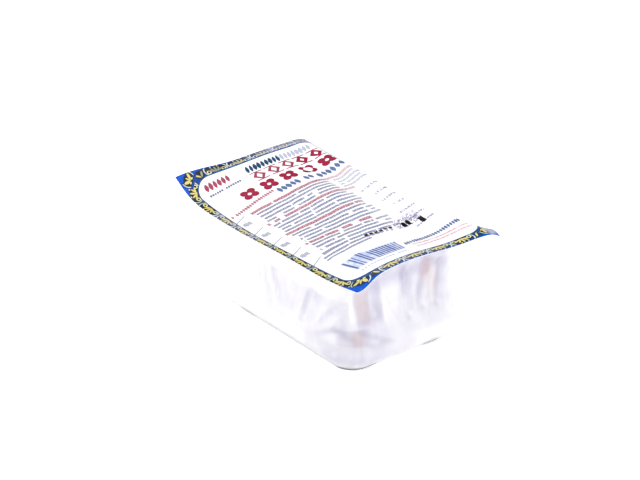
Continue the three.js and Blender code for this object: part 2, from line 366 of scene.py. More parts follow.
def between(v, low, high, soft=INK_EDGE):
    half_way = (high - low) / 2
    return ramp(abs(v - (high + low) / 2), half_way + soft / 2, half_way - soft / 2)


def below(v, edge, soft=INK_EDGE):
    return ramp(v, edge + soft / 2, edge - soft / 2)


def lesser(a, b): return a.maths("MINIMUM", b)
def greater(a, b): return a.maths("MAXIMUM", b)
def length(u, v): return (u * u + v * v).maths("SQRT")


def paint(under, mask, ink):
    return mask.node("ShaderNodeMix", {"data_type": "RGBA"}, {0: mask, 6: under, 7: ink}, output=2)


def overprint(colour, *layers):
    """Lays inks over a colour, one after the other, each given as a mask and an ink."""
    for mask, ink in layers:
        colour = paint(colour, mask, ink)
    return colour


def nearest(v, first, pitch, count):
    """Signed distance to the nearest of a row of centres, and which one it is."""
    index = ((v - first) / pitch).maths("ROUND").maths("MAXIMUM", 0).maths("MINIMUM", count - 1)
    return v - first - index * pitch, index


def noise(u, v, detail=1.0):
    place = u.node("ShaderNodeCombineXYZ", inputs={"X": u, "Y": v})
    return u.node("ShaderNodeTexNoise", {"noise_dimensions": "2D"},
                  {"Vector": place, "Scale": 1.0, "Detail": detail})


def chance(index, seed):
    return index.node("ShaderNodeTexWhiteNoise", {"noise_dimensions": "1D"}, {"W": index + seed})


flat = print_graph.node("ShaderNodeUVMap", {"uv_map": "print"})
flat_split = print_graph.node("ShaderNodeSeparateXYZ", inputs={0: flat})
page = (flat_split.output("X") - 0.5) * LID_LENGTH        # down the page, towards the front end
line = (flat_split.output("Y") - 0.5) * LID_WIDTH         # along a printed line
print("print inks run over", LID_LENGTH, "by", LID_WIDTH, "mm")

# %% [markdown]
# ### The ornamental rim
#
# Round the sheet runs a royal blue rim with gold scrolls between pale brackets, a common kind of
# ornament on food packs. Its middle line is a rounded rectangle. The distance from that line says
# how far across the band a point is, and the length along it says where in the repeat it is, so
# the scrolls turn round the corners with the band. Outside the rounded corners, blue triangles
# fill the sheet out to its corners. A painted reflection of the bright light on the glossy film
# makes the rim's inks look thin and grey in a few places: along the back end, on the low part of
# the near side, on the middle of the front end and at the far back corner. The far front tip is
# painted greyer too.

# %% Coordinates along and across the rim
BAND_HALF_LENGTH, BAND_HALF_WIDTH, BAND_RADIUS = 74.4, 44.1, 15.0
STRAIGHT_LENGTH = BAND_HALF_LENGTH - BAND_RADIUS
STRAIGHT_WIDTH = BAND_HALF_WIDTH - BAND_RADIUS
LONG_FIRST, LONG_PITCH, LONG_COUNT = -65.5, 15.85, 9
END_PITCH, LAST_ON_END, SPRIG_ON_END = 15.0, 1, 33.2

NARROWED, NARROWED_REACH = 0.36, 38.0              # the low part of the near rim looks narrower
outer_edge = -LID_WIDTH / 2 - 0.4
narrowed = exponential(-(page / NARROWED_REACH) * (page / NARROWED_REACH)) * ramp(line, -30.0, -38.0)
rim_line = outer_edge + (line - outer_edge) * (1 + narrowed * NARROWED)

past_x, past_y = abs(page) - STRAIGHT_LENGTH, abs(rim_line) - STRAIGHT_WIDTH
corner_x, corner_y = greater(past_x, 0), greater(past_y, 0)
across = length(corner_x, corner_y) + lesser(greater(past_x, past_y), 0) - BAND_RADIUS
turn = corner_y.maths("ARCTAN2", corner_x)
along_side = lesser(abs(page), STRAIGHT_LENGTH) + (float(np.pi / 2) - turn) * BAND_RADIUS
along_end = lesser(abs(rim_line), STRAIGHT_WIDTH) + turn * BAND_RADIUS

which_half = (page > 0) * 2 - 1
from_side_scroll, _ = nearest(along_side * which_half, LONG_FIRST, LONG_PITCH, LONG_COUNT)
end_index = lesser((along_end / END_PITCH).maths("FLOOR"), LAST_ON_END)
from_end_scroll = along_end - (end_index + 0.5) * END_PITCH
side_nearer = abs(from_side_scroll).maths("LESS_THAN", abs(from_end_scroll))
from_scroll = from_side_scroll * side_nearer + from_end_scroll * (1 - side_nearer)

front_half = which_half * 0.5 + 0.5
corner_u = abs(page) - (73.5 - front_half * 2.2)
corner_v = abs(rim_line) - (40.5 - front_half * 1.5)
DIAGONAL = float(np.sqrt(0.5))
round_corner = (corner_u - corner_v) * DIAGONAL         # along the rim, at 45 degrees to both sides
out_of_corner = (corner_u + corner_v) * DIAGONAL
at_corner = greater(abs(round_corner) / 5.2, abs(out_of_corner) / 3.4).maths("LESS_THAN", 1.0)
print("rim: nodes so far", len(print_graph.tree.nodes))

# %% [markdown]
# One ornament is a palmette: five slender petals that fan out from the panel's side, a pale curl
# with an open eye at each end of their foot, and a dark outline round all of it. Further out
# stands a pair of pale brackets. A corner carries one larger palmette of three leaves instead,
# on its diagonal, with a sprig beside it on the end. Where the reflection is painted in, inks turn paler.

# %% Draw the scrolls and lay the rim's inks
WHITE_FILM = (0.80, 0.80, 0.82, 1)
ROYAL_BLUE = (0.002, 0.074, 0.46, 1)
STRIP_BLUE = (0.006, 0.075, 0.24, 1)
BAND_NAVY = (0.022, 0.070, 0.18, 1)
BACK_BLUE = (0.002, 0.045, 0.21, 1)
BAND_TEAL = (0.040, 0.072, 0.090, 1)
SCROLL_GOLD = (0.62, 0.52, 0.16, 1)
PETAL_LIGHT = (0.70, 0.68, 0.38, 1)
BRACKET_PALE = (0.52, 0.58, 0.50, 1)
DARK_LINE = (0.008, 0.014, 0.020, 1)
# colours of the rim's inks under the painted reflection of the bright light; the grey also paints the far
# front tip
REFLECTION_GROUND = (0.21, 0.22, 0.31, 1)
REFLECTION_GOLD = (0.56, 0.51, 0.30, 1)
REFLECTION_PALE = (0.62, 0.62, 0.68, 1)
PALE_RIM_GREY = (0.40, 0.40, 0.46, 1)
FOLD_SHADE_GREY = (0.30, 0.31, 0.37, 1)


def oval(u, v, centre_u, centre_v, radius_u, radius_v):
    """Rough distance in millimetres to an oval's edge, below 0 inside it."""
    return (length((u - centre_u) / radius_u, (v - centre_v) / radius_v) - 1) * min(radius_u, radius_v)


def loop(u, v, centre_u, centre_v, radius, half_stroke):
    return abs(length(u - centre_u, v - centre_v) - radius) - half_stroke


def petal(u, v, root, slant, middle, radius_u, radius_v):
    """Distance to a petal that rises from a root on v, `slant` radians off it and `middle` along it."""
    cosine, sine = float(np.cos(slant)), float(np.sin(slant))
    aside, along = u * cosine - (v - root) * sine, u * sine + (v - root) * cosine
    return oval(aside, along, 0.0, middle, radius_u, radius_v)


def at_corners(elsewhere, in_corner):
    return elsewhere + (in_corner - elsewhere) * at_corner


at_back = ramp(page, -66.0, -70.0)
# painted reflection: where the glossy film mirrors the bright light, the rim's inks are painted thin and
# grey
painted_reflection_back = at_back * (ramp(line, -18.0, -7.0) * 0.55 + ramp(line, 0.0, 14.0) * 0.45)
painted_reflection_far_corner = ramp(page, -60.0, -66.0) * ramp(line, 24.0, 32.0)
painted_reflection_near = ramp(line, -37.0, -40.0) * ramp(page, -46.0, -42.0) * ramp(page, 12.0, -12.0) * 0.72
painted_reflection_end = ramp(page, 68.0, 71.0) * ramp(abs(line + 9.0), 27.0, 17.0) * 0.50
# the far front tip of the rim is painted greyer
grey_tip = ramp(page, 66.0, 69.0) * ramp(line, 37.0, 40.5)
grey_tip = grey_tip * (0.35 + ramp(page + line * 0.5, 97.6, 96.0) * 0.65)
painted_reflection = greater(greater(painted_reflection_back, painted_reflection_far_corner), greater(painted_reflection_near, painted_reflection_end))

SCROLL_SCALE = 0.91
scroll_side = abs(from_scroll) * SCROLL_SCALE
petals = lesser(petal(scroll_side, across, -2.4, 0.0, 2.5, 0.52, 2.1),
                petal(scroll_side, across, -2.7, 0.56, 2.9, 0.50, 2.0))
petals = lesser(petals, petal(scroll_side, across, -2.1, 1.08, 3.1, 0.44, 1.7))
petals = lesser(petals, petal(abs(along_end - SPRIG_ON_END), across, -2.2, 0.60, 2.5, 0.55, 1.9))
curl = loop(scroll_side, across, 4.3, -1.0, 0.95, 0.26)
seed = oval(scroll_side, across, 2.0, 2.1, 0.42, 0.34)
bracket = greater(loop(scroll_side, across, 3.1, 0.0, 3.3, 0.32), 5.2 - scroll_side)

corner_side = abs(round_corner)
leaves = lesser(petal(corner_side, out_of_corner, -1.7, 0.0, 1.9, 0.50, 1.5),
                petal(corner_side, out_of_corner, -1.5, 0.86, 2.7, 0.80, 1.9))
bud = oval(corner_side, out_of_corner, 1.5, -1.5, 0.8, 0.34)
corner_bracket = greater(loop(corner_side, out_of_corner, 1.6, 0.2, 3.1, 0.30), 3.9 - corner_side)
petals, lights = at_corners(petals, leaves), at_corners(lesser(curl, seed), bud)
bracket = at_corners(bracket, corner_bracket)
scroll_ground = lesser(oval(scroll_side, across, 0.0, 0.0, 6.2, 2.9),
                       oval(along_end, across, SPRIG_ON_END, 0.0, 2.6, 2.4))
scroll_ground = at_corners(scroll_ground, oval(round_corner, out_of_corner, 0.0, 0.2, 4.4, 2.3))
print("rim drawn; nodes so far", len(print_graph.tree.nodes))

# %% Lay the rim's inks
near_side = ramp(line, -37.0, -40.0) * ramp(page, -68.0, -60.0)
in_band = below(abs(across), 2.5)
in_rim = greater(in_band, at_corner * ramp(across, -3.1, -2.6))
far_back = ramp(page, -42.0, -48.0)
ground = paint(BAND_NAVY, ramp(page, -62.0, -68.0) * 0.9, BACK_BLUE)
ground = paint(paint(ground, near_side * 0.9, BAND_TEAL), painted_reflection, REFLECTION_GROUND)
ground = paint(ground, painted_reflection_back * ramp(line, -2.0, 10.0) * 0.8, PALE_RIM_GREY)
deep = (0.60 + greater(far_back, near_side * 0.6) * 0.37) * (1 - painted_reflection * 0.75)
outline = (0.80 + greater(far_back, near_side) * 0.20) * (1 - painted_reflection * 0.25)
drawn = lesser(lesser(petals, lights), bracket)
gold_ink = paint(paint(SCROLL_GOLD, near_side * 0.15, BAND_TEAL), painted_reflection, REFLECTION_GOLD)
gold_ink = paint(gold_ink, greater(painted_reflection_far_corner, painted_reflection_back * ramp(line, -4.0, 10.0) * 0.7), PALE_RIM_GREY)
gold_ink = paint(gold_ink, at_back * (1 - painted_reflection) * ramp(line, -36.0, -30.0) * 0.60, BACK_BLUE)
colour = paint(WHITE_FILM, ramp(across, -3.1, -2.95), ROYAL_BLUE)
colour = overprint(
    colour,
    (ramp(across, 2.3, 2.9) * greater(painted_reflection_far_corner, painted_reflection_back), PALE_RIM_GREY),
    (in_band * 0.88, ground),
    (between(across, -2.95, -2.3), paint(BAND_NAVY, painted_reflection * 0.55, REFLECTION_GROUND)),
    (in_rim * below(scroll_ground, 0.2, 0.8) * deep, DARK_LINE),
    (in_rim * below(drawn, 0.34) * outline, DARK_LINE))
pale_ink = paint(paint(BRACKET_PALE, near_side * 0.30, BAND_TEAL), painted_reflection, REFLECTION_PALE)
colour = overprint(
    colour,
    (in_rim * below(bracket, 0.0), pale_ink),
    (in_rim * below(lights, 0.0), paint(PETAL_LIGHT, painted_reflection, REFLECTION_PALE)),
    (in_rim * below(petals, 0.0), gold_ink))
inner_strip = between(across, -2.95, -1.75 - ramp(line, -22.0, -30.0)) * at_back
colour = overprint(
    colour,
    (inner_strip * ramp(line, 33.0, 26.0) * 0.95, STRIP_BLUE),
    (grey_tip * ramp(across, -3.1, -2.5) * 0.85, PALE_RIM_GREY))
# painted shade along the far rim's fold: it darkens towards the crest where the sheet bends down, and
# stops just past it
from_fold = line - 37.0 + lesser(page + 46.0, 0) * 0.115
fold_shade = ramp(from_fold, -4.2, -1.4) * ramp(from_fold, 0.9, 0.1)
fold_shade = fold_shade * ramp(page, -34.0, -42.0) * ramp(page, -74.0, -70.0)
colour = paint(colour, fold_shade, FOLD_SHADE_GREY)
print("rim inked; nodes so far", len(print_graph.tree.nodes))

# %% [markdown]
# ### Lines of type as plain marks
#
# The panel inside the rim holds no words. What reads as small type from afar is made of plain
# marks: rows at an even pitch, broken into word-long pieces by a slow noise and into strokes by a
# quick one. Every fifth row is a heading in crimson, and the rest are blue-grey. Where rows stop
# varies from row to row, as in any printed text.

# %% Rows of small marks
CRIMSON = (0.25, 0.010, 0.040, 1)
SOFT_CRIMSON = (0.27, 0.045, 0.085, 1)
TYPE_BLUE = (0.105, 0.115, 0.22, 1)
ROW_FIRST, ROW_PITCH, ROW_COUNT = -29.5, 3.16, 22
HEADINGS_EVERY = 5
ROW_BOW = 4.2                                    # the last rows run downhill towards the near rim

bow = exponential(-((page - 38.0) / 9.0) * ((page - 38.0) / 9.0)) * ramp(line, -6.0, -38.0) * ROW_BOW
from_row, row = nearest(page - bow, ROW_FIRST, ROW_PITCH, ROW_COUNT)
heading = below(row.maths("FLOORED_MODULO", HEADINGS_EVERY), 0.5) * below(row, 17.5)
upper_rows = ramp(row, 5.5, 4.5)
strokes = noise(line * 2.3 + row * 3.7, page * 1.0)
words = noise(line * 0.21 + row * 17.3, row * 5.1)
stroke_ink = 0.54 + ramp(strokes, 0.62, 0.44) * 0.44
word_ink = ramp(words, 0.30, 0.33)
row_start = chance(row, 0.37) * 1.2 - 31.2 - heading * 1.6 - ramp(row, 18.5, 19.5) * 5.0
row_end = 16.0 + chance(row, 4.11) * 3.5 + upper_rows * 16.0 - ramp(row, 19.5, 20.5) * 22.0
row_end = row_end - between(row, 14.5, 15.5) * 8.0
in_row = ramp(line, row_start - 0.1, row_start + 0.1) * ramp(line, row_end + 0.1, row_end - 0.1)
column_gap = 1 - between(line, 16.5, 19.5) * below(row, 4.5) * ramp(row, 0.4, 0.6)
row_height = below(abs(from_row), 0.92 + heading * 0.30, 0.5)
# the rows fade towards the far side: a painted highlight, where the film there reflects the bright light
small_type = in_row * row_height * word_ink * stroke_ink * column_gap * (1 - ramp(line, 8.0, 22.0) * 0.35)
colour = overprint(
    colour,
    (small_type * (1 - heading), TYPE_BLUE),
    (small_type * heading, SOFT_CRIMSON))
print("rows:", ROW_COUNT, "pitch", ROW_PITCH, "mm")

# %% [markdown]
# Beside the rows, near the rim that hangs lowest, stands a column of small labels between thin
# rules, and a few short rows return at the far side of the page.

# %% Side labels, rules and short rows
RULE_GREY = (0.17, 0.19, 0.27, 1)
RULE_FIRST, RULE_PITCH, RULE_COUNT = -29.5, 16.3, 5
LABEL_BELOW_RULE = 6.4
from_rule, _ = nearest(page + (line + 38.0) * 0.45, RULE_FIRST, RULE_PITCH, RULE_COUNT)
rules = below(abs(from_rule), 0.34) * between(line, -43.0, -35.0)
from_label, _ = nearest(page, RULE_FIRST + LABEL_BELOW_RULE, RULE_PITCH, RULE_COUNT - 1)
label_bar = (line + 38.6).maths("PINGPONG", 0.62)
label_height = 1.3 + chance((line / 1.24).maths("FLOOR"), 5.5) * 0.7
labels = (below(abs(label_bar - 0.31), 0.20, 0.15) * below(abs(from_label), label_height)
          * between(line, -41.0, -36.0))
colour = overprint(
    colour,
    (rules * 0.95, RULE_GREY),
    (labels, TYPE_BLUE))

from_short, short_index = nearest(page + (line - 28.0) * 0.12, -7.8, 7.6, 7)
short_start = 22.0 + chance(short_index, 2.2) * 7.0
short_rows = (below(abs(from_short), 0.9, 0.4) * ramp(line, short_start, short_start + 0.4)
              * below(line, 35.0) * ramp(noise(line * 1.2, page * 0.5), 0.60, 0.46))
colour = paint(colour, short_rows * 0.75, TYPE_BLUE)
print("rules:", RULE_COUNT)

# %% [markdown]
# ### Large marks
#
# Above the rows stand larger marks. Two rows in crimson carry five simple shapes each, open
# lozenges and four-petalled blossoms, which are as large and as heavy as display type but spell
# nothing. The blue rows over and under them are slanted spindles.

# %% Crimson lozenges and blossoms
LOZENGE_ROW, BLOSSOM_ROW = -55.6, -45.0               # place down the page
u, lozenge_index = nearest(line, -7.0, 9.3, 5)
v = page - LOZENGE_ROW
lozenge = (abs(u) / 4.0 + abs(v) / 4.5 - 1) * 2.9
eye_size = 1.15 - ramp(lozenge_index, 2.4, 2.6) * 0.35
lozenge_eye = (abs(u) / 1.5 + abs(v) / 2.1 - eye_size) * 1.2
lozenge_bar = greater(abs(u) - 3.9, abs(abs(v) - 4.1) - 0.45)
lozenge_mask = greater(below(lozenge, 0) * (1 - below(lozenge_eye, 0)), below(lozenge_bar, 0))
colour = paint(colour, lozenge_mask, paint(SOFT_CRIMSON, ramp(lozenge_index, 2.4, 2.6), CRIMSON))
u, blossom_index = nearest(line, -21.2, 12.7, 5)
v = page - BLOSSOM_ROW
blossom = length(abs(u) - 2.15, abs(v) - 2.0) - 2.25
blossom_eye = length(u, v) - 1.05 - between(blossom_index, 2.5, 3.5) * 1.5
colour = paint(colour, below(blossom, 0) * (1 - below(blossom_eye, 0)), CRIMSON)
print("shapes:", 5, "lozenges and", 5, "blossoms")

# %% Blue slanted spindles and the small crimson mark
DEEP_BLUE = (0.012, 0.048, 0.11, 1)
SOFT_BLUE = (0.085, 0.13, 0.27, 1)


def spindles(page_middle, half_height, start, end, pitch, slant, share, seed, climb=0.0):
    """Leaning spindles, wide in the middle and pointed at both ends, with some of them missing."""
    off_row = page - page_middle + (line - (start + end) / 2) * climb
    leaning = line + off_row * slant
    offset, index = nearest(leaning, start, pitch, int((end - start) / pitch) + 1)
    height = half_height * (0.90 + chance(index, seed + 5.0) * 0.14)
    off_middle = off_row / height
    half_width = (1 - off_middle * off_middle) * (0.38 + chance(index, seed) * 0.12) * pitch
    return below(abs(offset), half_width, 0.25) * below(chance(index, seed + 9.0), share, 0.01)


header = spindles(-64.4, 3.6, -8.8, 32.0, 2.5, 0.3, 1.0, 1.3)
header_dark = ramp(line, 13.0, 11.5)
weight_row = spindles(-36.2, 2.9, -8.0, 33.5, 2.9, 0.0, 0.90, 7.9)
mark = spindles(-64.8, 3.1, -35.0, -21.5, 2.7, 0.2, 1.0, 3.1)
under_mark = spindles(-58.6, 1.1, -36.5, -16.5, 1.45, 0.2, 0.95, 5.7)
slant_row = spindles(-36.4, 1.6, -40.0, -11.0, 1.6, 0.0, 0.94, 8.3, climb=0.15)
colour = overprint(
    colour,
    (header * header_dark, DEEP_BLUE),
    (header * (1 - header_dark) * 0.6, SOFT_BLUE),
    (weight_row, SOFT_BLUE),
    (greater(mark, slant_row * 0.9), SOFT_CRIMSON),
    (under_mark, TYPE_BLUE))
print("spindle rows done; nodes so far", len(print_graph.tree.nodes))

# %% [markdown]
# ### Foot of the page
#
# Below the rows come a field of light blue with dark bars, a blue row and a pink one, and over
# the last rows a jet-black stamp of dashes and blocks, which was printed later and so sits
# heavier on the film than the rest.

# %% Striped field, foot rows and stamp
FIELD_BLUE = (0.40, 0.47, 0.74, 1)
BAR_BLUE = (0.025, 0.05, 0.17, 1)
PINK = (0.50, 0.20, 0.26, 1)
STAMP_BLACK = (0.001, 0.001, 0.003, 1)
SCRATCH_LAVENDER = (0.24, 0.19, 0.36, 1)
fan = line + (page - 57.0) * ((line + 35.0) * 0.0097 - 0.08)
field_top = 50.4 + ramp(abs(line + 24.0), 5.0, 3.0) * -1.8
field = ramp(page, field_top, field_top + 0.4) * ramp(page, 64.2, 61.8) * between(fan, -35.0, -3.0)
bar_offset, bar_index = nearest(fan, -34.0, 1.78, 18)
stripes = below(abs(bar_offset), 0.28 + chance(bar_index, 6.6) * 0.34, 0.2)
uneven = ramp(noise(line * 0.5, page * 0.3), 0.30, 0.62)
colour = overprint(
    colour,
    (field * (0.55 + uneven * 0.45), FIELD_BLUE),
    (field * stripes * below(chance(bar_index, 2.9), 0.84, 0.01) * 0.9, BAR_BLUE))
under_field = spindles(66.0, 0.9, -33.5, -6.0, 1.9, 0.0, 0.9, 4.4)
foot_row = spindles(55.4, 2.4, 0.4, 38.4, 1.75, 0.35, 0.97, 12.2, climb=0.10)
pink_rows = (below(abs((page + line * 0.02 - 61.5).maths("PINGPONG", 1.7)), 0.75, 0.3)
             * between(page, 60.2, 66.6) * between(line, 1.5, 37.5)
             * (0.45 + ramp(noise(line * 1.1, page * 0.4), 0.56, 0.46) * 0.55))
colour = overprint(
    colour,
    (under_field * 0.55, SOFT_BLUE),
    (foot_row, SOFT_BLUE),
    (pink_rows * 0.85, PINK))

ragged = noise(line * 1.6, page * 1.1) * 1.6 - 0.8
dash, _ = nearest(line, -4.6, 3.1, 6)
dashes = below(abs(dash), 1.15) * between(page + ragged, 31.5, 33.2)
dash_echoes = below(abs(dash + 0.7), 0.9) * between(page + ragged, 33.7, 35.3)
blocks = (between(page + ragged, 31.0, 35.4) * between(line + ragged * 0.5, 17.8, 20.4)
          + between(page + ragged, 30.4, 34.6) * between(line + ragged * 0.5, 21.0, 23.4)
          + between(page + ragged, 33.0, 38.2) * between(line + ragged * 0.6, 27.4, 30.0))
around_blocks = between(page + line * 0.12, 29.0, 38.0, 2.0) * between(line, 14.0, 30.5, 2.0)
scratch_marks = around_blocks * ramp(noise((line + page * 0.5) * 1.3, page * 0.4), 0.46, 0.56)
specks = around_blocks * between(page, 28.0, 36.0, 1.0)
specks = specks * ramp(noise(line * 1.9, page * 1.1 + 7.0), 0.61, 0.66)
colour = overprint(
    colour,
    (scratch_marks * 0.80, SCRATCH_LAVENDER),
    (specks, STAMP_BLACK),
    (dash_echoes * 0.8, SCRATCH_LAVENDER),
    (dashes, STAMP_BLACK),
    (blocks.maths("MINIMUM", 1.0), STAMP_BLACK))
feed(print_graph, {"Base Color": colour})
print("print finished with", len(print_graph.tree.nodes), "nodes")

# %% [markdown]
# ## The printed face's gloss
#
# Lidding film is a smooth plastic, so its shine is broken only by a very fine ripple and by the
# handling it has had. The ripple is a bump, too small to be worth any mesh, and it grows towards
# the free rim, where nothing holds the film flat.

# %% Ripple and roughness of the printed face
free_rim = ramp(abs(line), 30.0, 46.0)
ripple = texture(print_graph, 90.0, 2.0) * (0.35 + free_rim * 0.65)
feed(print_graph, {"Normal": bumps(print_graph, 0.25, 0.4, ripple),
                   "Roughness": 0.12 + texture(print_graph, 35.0, 3.0) * 0.14})
print("printed face: roughness 0.12 to 0.26")

# %% [markdown]
# ## The clear pocket
#
# The pocket is a soft, deep tray of clear film. It is lofted: level sections from the foot to the
# rim are joined by smooth curves, and each section is a rounded rectangle. A station is a place
# on the way round such a section, so the whole wall is a table of rows (heights) by stations.

# %% Stations and sections
POCKET_SECTIONS = np.array([         # height, half length, half width, corner radius, shift along x
    (10, 58.2, 39.4, 16, 3.8),       # belly
    (27, 58.7, 39.0, 16, 0.0),       # waist
    (40, 60.0, 40.3, 16, -1.4),      # shoulder
    (58, 62.6, 39.6, 16, -1.4),      # rim
])
FOOT = np.array((55.3, 36.7, 9.5, 3.0))
BELLY_HEIGHT, RIM_HEIGHT = POCKET_SECTIONS[0, 0], POCKET_SECTIONS[-1, 0]
RIM = POCKET_SECTIONS[-1, 1:]
STEPS_LONG, STEPS_END, STEPS_CORNER = 80, 42, 22


def make_stations():
    """Direction signs of the corner arc's centre and outward angle of each station, anticlockwise."""
    table = []
    corners = [(1, -1), (1, 1), (-1, 1), (-1, -1), (1, -1)]
    for side, steps in enumerate((STEPS_END, STEPS_LONG, STEPS_END, STEPS_LONG)):
        (u0, v0), (u1, v1) = corners[side], corners[side + 1]
        table += [(u0 + (u1 - u0) * t, v0 + (v1 - v0) * t, side * np.pi / 2)
                  for t in np.arange(steps) / steps]
        table += [(u1, v1, (side + t) * np.pi / 2) for t in np.arange(STEPS_CORNER) / STEPS_CORNER]
    table = table[STEPS_END // 2:] + table[:STEPS_END // 2]
    return np.array(table, float).T


side_u, side_v, outward_angle = make_stations()
OUT_X, OUT_Y = np.cos(outward_angle), np.sin(outward_angle)


def plan_ring(size):
    """Points of a rounded rectangle: half length, half width, corner radius, shift."""
    half_length, half_width, radius, shift = np.moveaxis(np.asarray(size, float), -1, 0)
    x = shift + side_u * (half_length - radius) + radius * OUT_X
    y = side_v * (half_width - radius) + radius * OUT_Y
    return x, y


def section_at(height):
    """Size of the pocket at any height between belly and rim, on smooth curves."""
    heights, sizes = POCKET_SECTIONS[:, 0], POCKET_SECTIONS[:, 1:]
    last = len(heights) - 1
    index = np.clip(np.searchsorted(heights, height, side="right") - 1, 0, last - 1)
    neighbours = [(max(i - 1, 0), min(i + 1, last)) for i in range(last + 1)]
    slopes = np.array([(sizes[b] - sizes[a]) / (heights[b] - heights[a]) for a, b in neighbours])
    span = heights[index + 1] - heights[index]
    t = np.clip((height - heights[index]) / span, 0, 1)[..., None]
    span = span[..., None]
    eased = t * t * (3 - 2 * t)
    return (sizes[index] * (1 - eased) + sizes[index + 1] * eased
            + t * (1 - t) ** 2 * span * slopes[index] + t * t * (t - 1) * span * slopes[index + 1])


rim_x, rim_y = plan_ring(RIM)
steps_round = np.hypot(np.diff(rim_x, append=rim_x[:1]), np.diff(rim_y, append=rim_y[:1]))
way_round = np.concatenate(([0], np.cumsum(steps_round)[:-1]))
print(len(side_u), "stations,", round(steps_round.sum(), 1), "mm round the rim")

# %% [markdown]
# ### Creases
#
# Soft film that has been pressed and pulled keeps creases. The deep ones are listed, as
# lines on a wall, and press the film in along a smooth groove; the two walls at the back get
# theirs from a rule with a fixed seed. They are the same as in the CAD model.

# %% Deep creases
CREASES = [                          # wall, start (place along, height), end, half width, depth
    ("front", (0, 47), (2, 23), 2.6, 1.5), ("front", (11.5, 46), (11, 25), 2.4, 1.3),
    ("front", (16.5, 46), (18, 24), 2.0, 0.9), ("front", (22.5, 44), (21.5, 23), 2.4, 1.2),
    ("front", (-22, 46), (-20, 30), 3.0, 1.6), ("near", (-6, 38), (-14, 20), 2.6, 1.0),
    ("near", (1, 37.5), (-3, 19), 2.6, 1.4), ("near", (33.5, 38.5), (22, 19), 2.8, 1.5),
    ("near", (53, 34), (42, 20), 2.6, 1.2), ("near", (-48, 36), (-44, 20), 2.6, 0.8),
]
WALL_NORMALS = {"front": (1, 0), "back": (-1, 0), "near": (0, -1), "far": (0, 1)}


def spread_creases(wall, count, first, last, lean, seed):
    state, creases = seed, []

    def draw():
        nonlocal state
        state = state * 16807 % 2147483647
        return state / 2147483647

    for i in range(count):
        along = first + (last - first) * (i + 0.3 + 0.4 * draw()) / count
        top, bottom = 36 + 9 * draw(), 18 + 7 * draw()
        drift = lean * (draw() - 0.5) * 2
        reach, depth = 2.2 + 0.8 * draw(), 0.8 + 0.7 * draw()
        creases.append((wall, (along, top), (along + drift, bottom), reach, depth))
    return creases


ALL_CREASES = (CREASES + spread_creases("far", 7, -46, 44, 7, 11)
               + spread_creases("back", 5, -24, 24, 3, 23))


def crease_depth(x, y, height):
    """How deep the film is pressed in at a point of the wall, in millimetres."""
    depth = np.zeros(np.broadcast(x, height).shape)
    for wall, start, end, reach, deepest in ALL_CREASES:
        normal_x, normal_y = WALL_NORMALS[wall]
        facing = np.clip(normal_x * OUT_X + normal_y * OUT_Y, 0, None)
        along = y if normal_x else x
        run_a, run_h = end[0] - start[0], end[1] - start[1]
        off_a, off_h = along - start[0], height - start[1]
        t = np.clip((off_a * run_a + off_h * run_h) / (run_a ** 2 + run_h ** 2), 0, 1)
        distance = np.hypot(off_a - t * run_a, off_h - t * run_h)
        depth += facing * deepest * np.exp(-(distance / reach) ** 2)
    return depth


print(len(ALL_CREASES), "deep creases")

# %% [markdown]
# ### Wrinkles
#
# Between the creases the film gathers into many narrow wrinkles. On the near wall they lean, in
# a belt below a smooth, tight band; on the ends they stand nearly upright. They are made in the
# mesh, as sharp ridges of a stretched noise that closes on itself round the pocket, so each
# ridge has two flanks that catch the light from different sides.

# %% Wrinkle relief
NOISE_ROWS, NOISE_SHIFT = 97, 20.37


def closed_noise(place, height, cell, cell_height, seed):
    """Smooth noise from -1 to 1 on the unrolled wall, which repeats once round the pocket."""
    round_trip = steps_round.sum()
    cells = max(int(round(round_trip / cell)), 4)
    table = np.random.default_rng(seed).uniform(-1, 1, (cells, NOISE_ROWS))
    u, v = place / round_trip * cells, height / cell_height + NOISE_SHIFT
    iu, iv = np.floor(u).astype(int), np.floor(v).astype(int)
    fu, fv = u - iu, v - iv
    fu, fv = fu * fu * (3 - 2 * fu), fv * fv * (3 - 2 * fv)
    low, high = (table[iu % cells, row % NOISE_ROWS] * (1 - fu)
                 + table[(iu + 1) % cells, row % NOISE_ROWS] * fu for row in (iv, iv + 1))
    return low * (1 - fv) + high * fv


def soft_step(v, low, high):
    t = np.clip((v - low) / (high - low), 0, 1)
    return t * t * (3 - 2 * t)


NEAR_SHARE = np.clip(-OUT_Y, 0, 1) ** 2          # 1 on the near wall, 0 on the ends
NEAR_LEAN = 0.5                                  # sideways run of a wrinkle for each mm of height


def wrinkle_relief(height):
    """Ridges of the gathered film and its slow unevenness, in millimetres outwards."""
    place = way_round - NEAR_SHARE * NEAR_LEAN * (height - 38)
    ridge = (1 - np.abs(closed_noise(place, height, 3.1, 15.0, 5))) ** 2.5
    fine = (1 - np.abs(closed_noise(place, height, 1.9, 9.0, 8))) ** 2.5
    top = 47 - NEAR_SHARE * 8.5
    belt = soft_step(height, 15, 22) * (1 - soft_step(height, top - 2.5, top))
    patchy = 0.55 + 0.45 * closed_noise(way_round, height, 17.0, 16.0, 3)
    slow = closed_noise(way_round, height, 21.0, 17.0, 12)
    edges = soft_step(height, 3, 12) * (1 - soft_step(height, 48, 53))
    return belt * patchy * (0.55 * ridge + 0.20 * fine - 0.3) + edges * 0.35 * slow


sample = wrinkle_relief(np.full_like(way_round, 30.0))
print("wrinkles at 30 mm: from", round(sample.min(), 2), "to", round(sample.max(), 2), "mm")
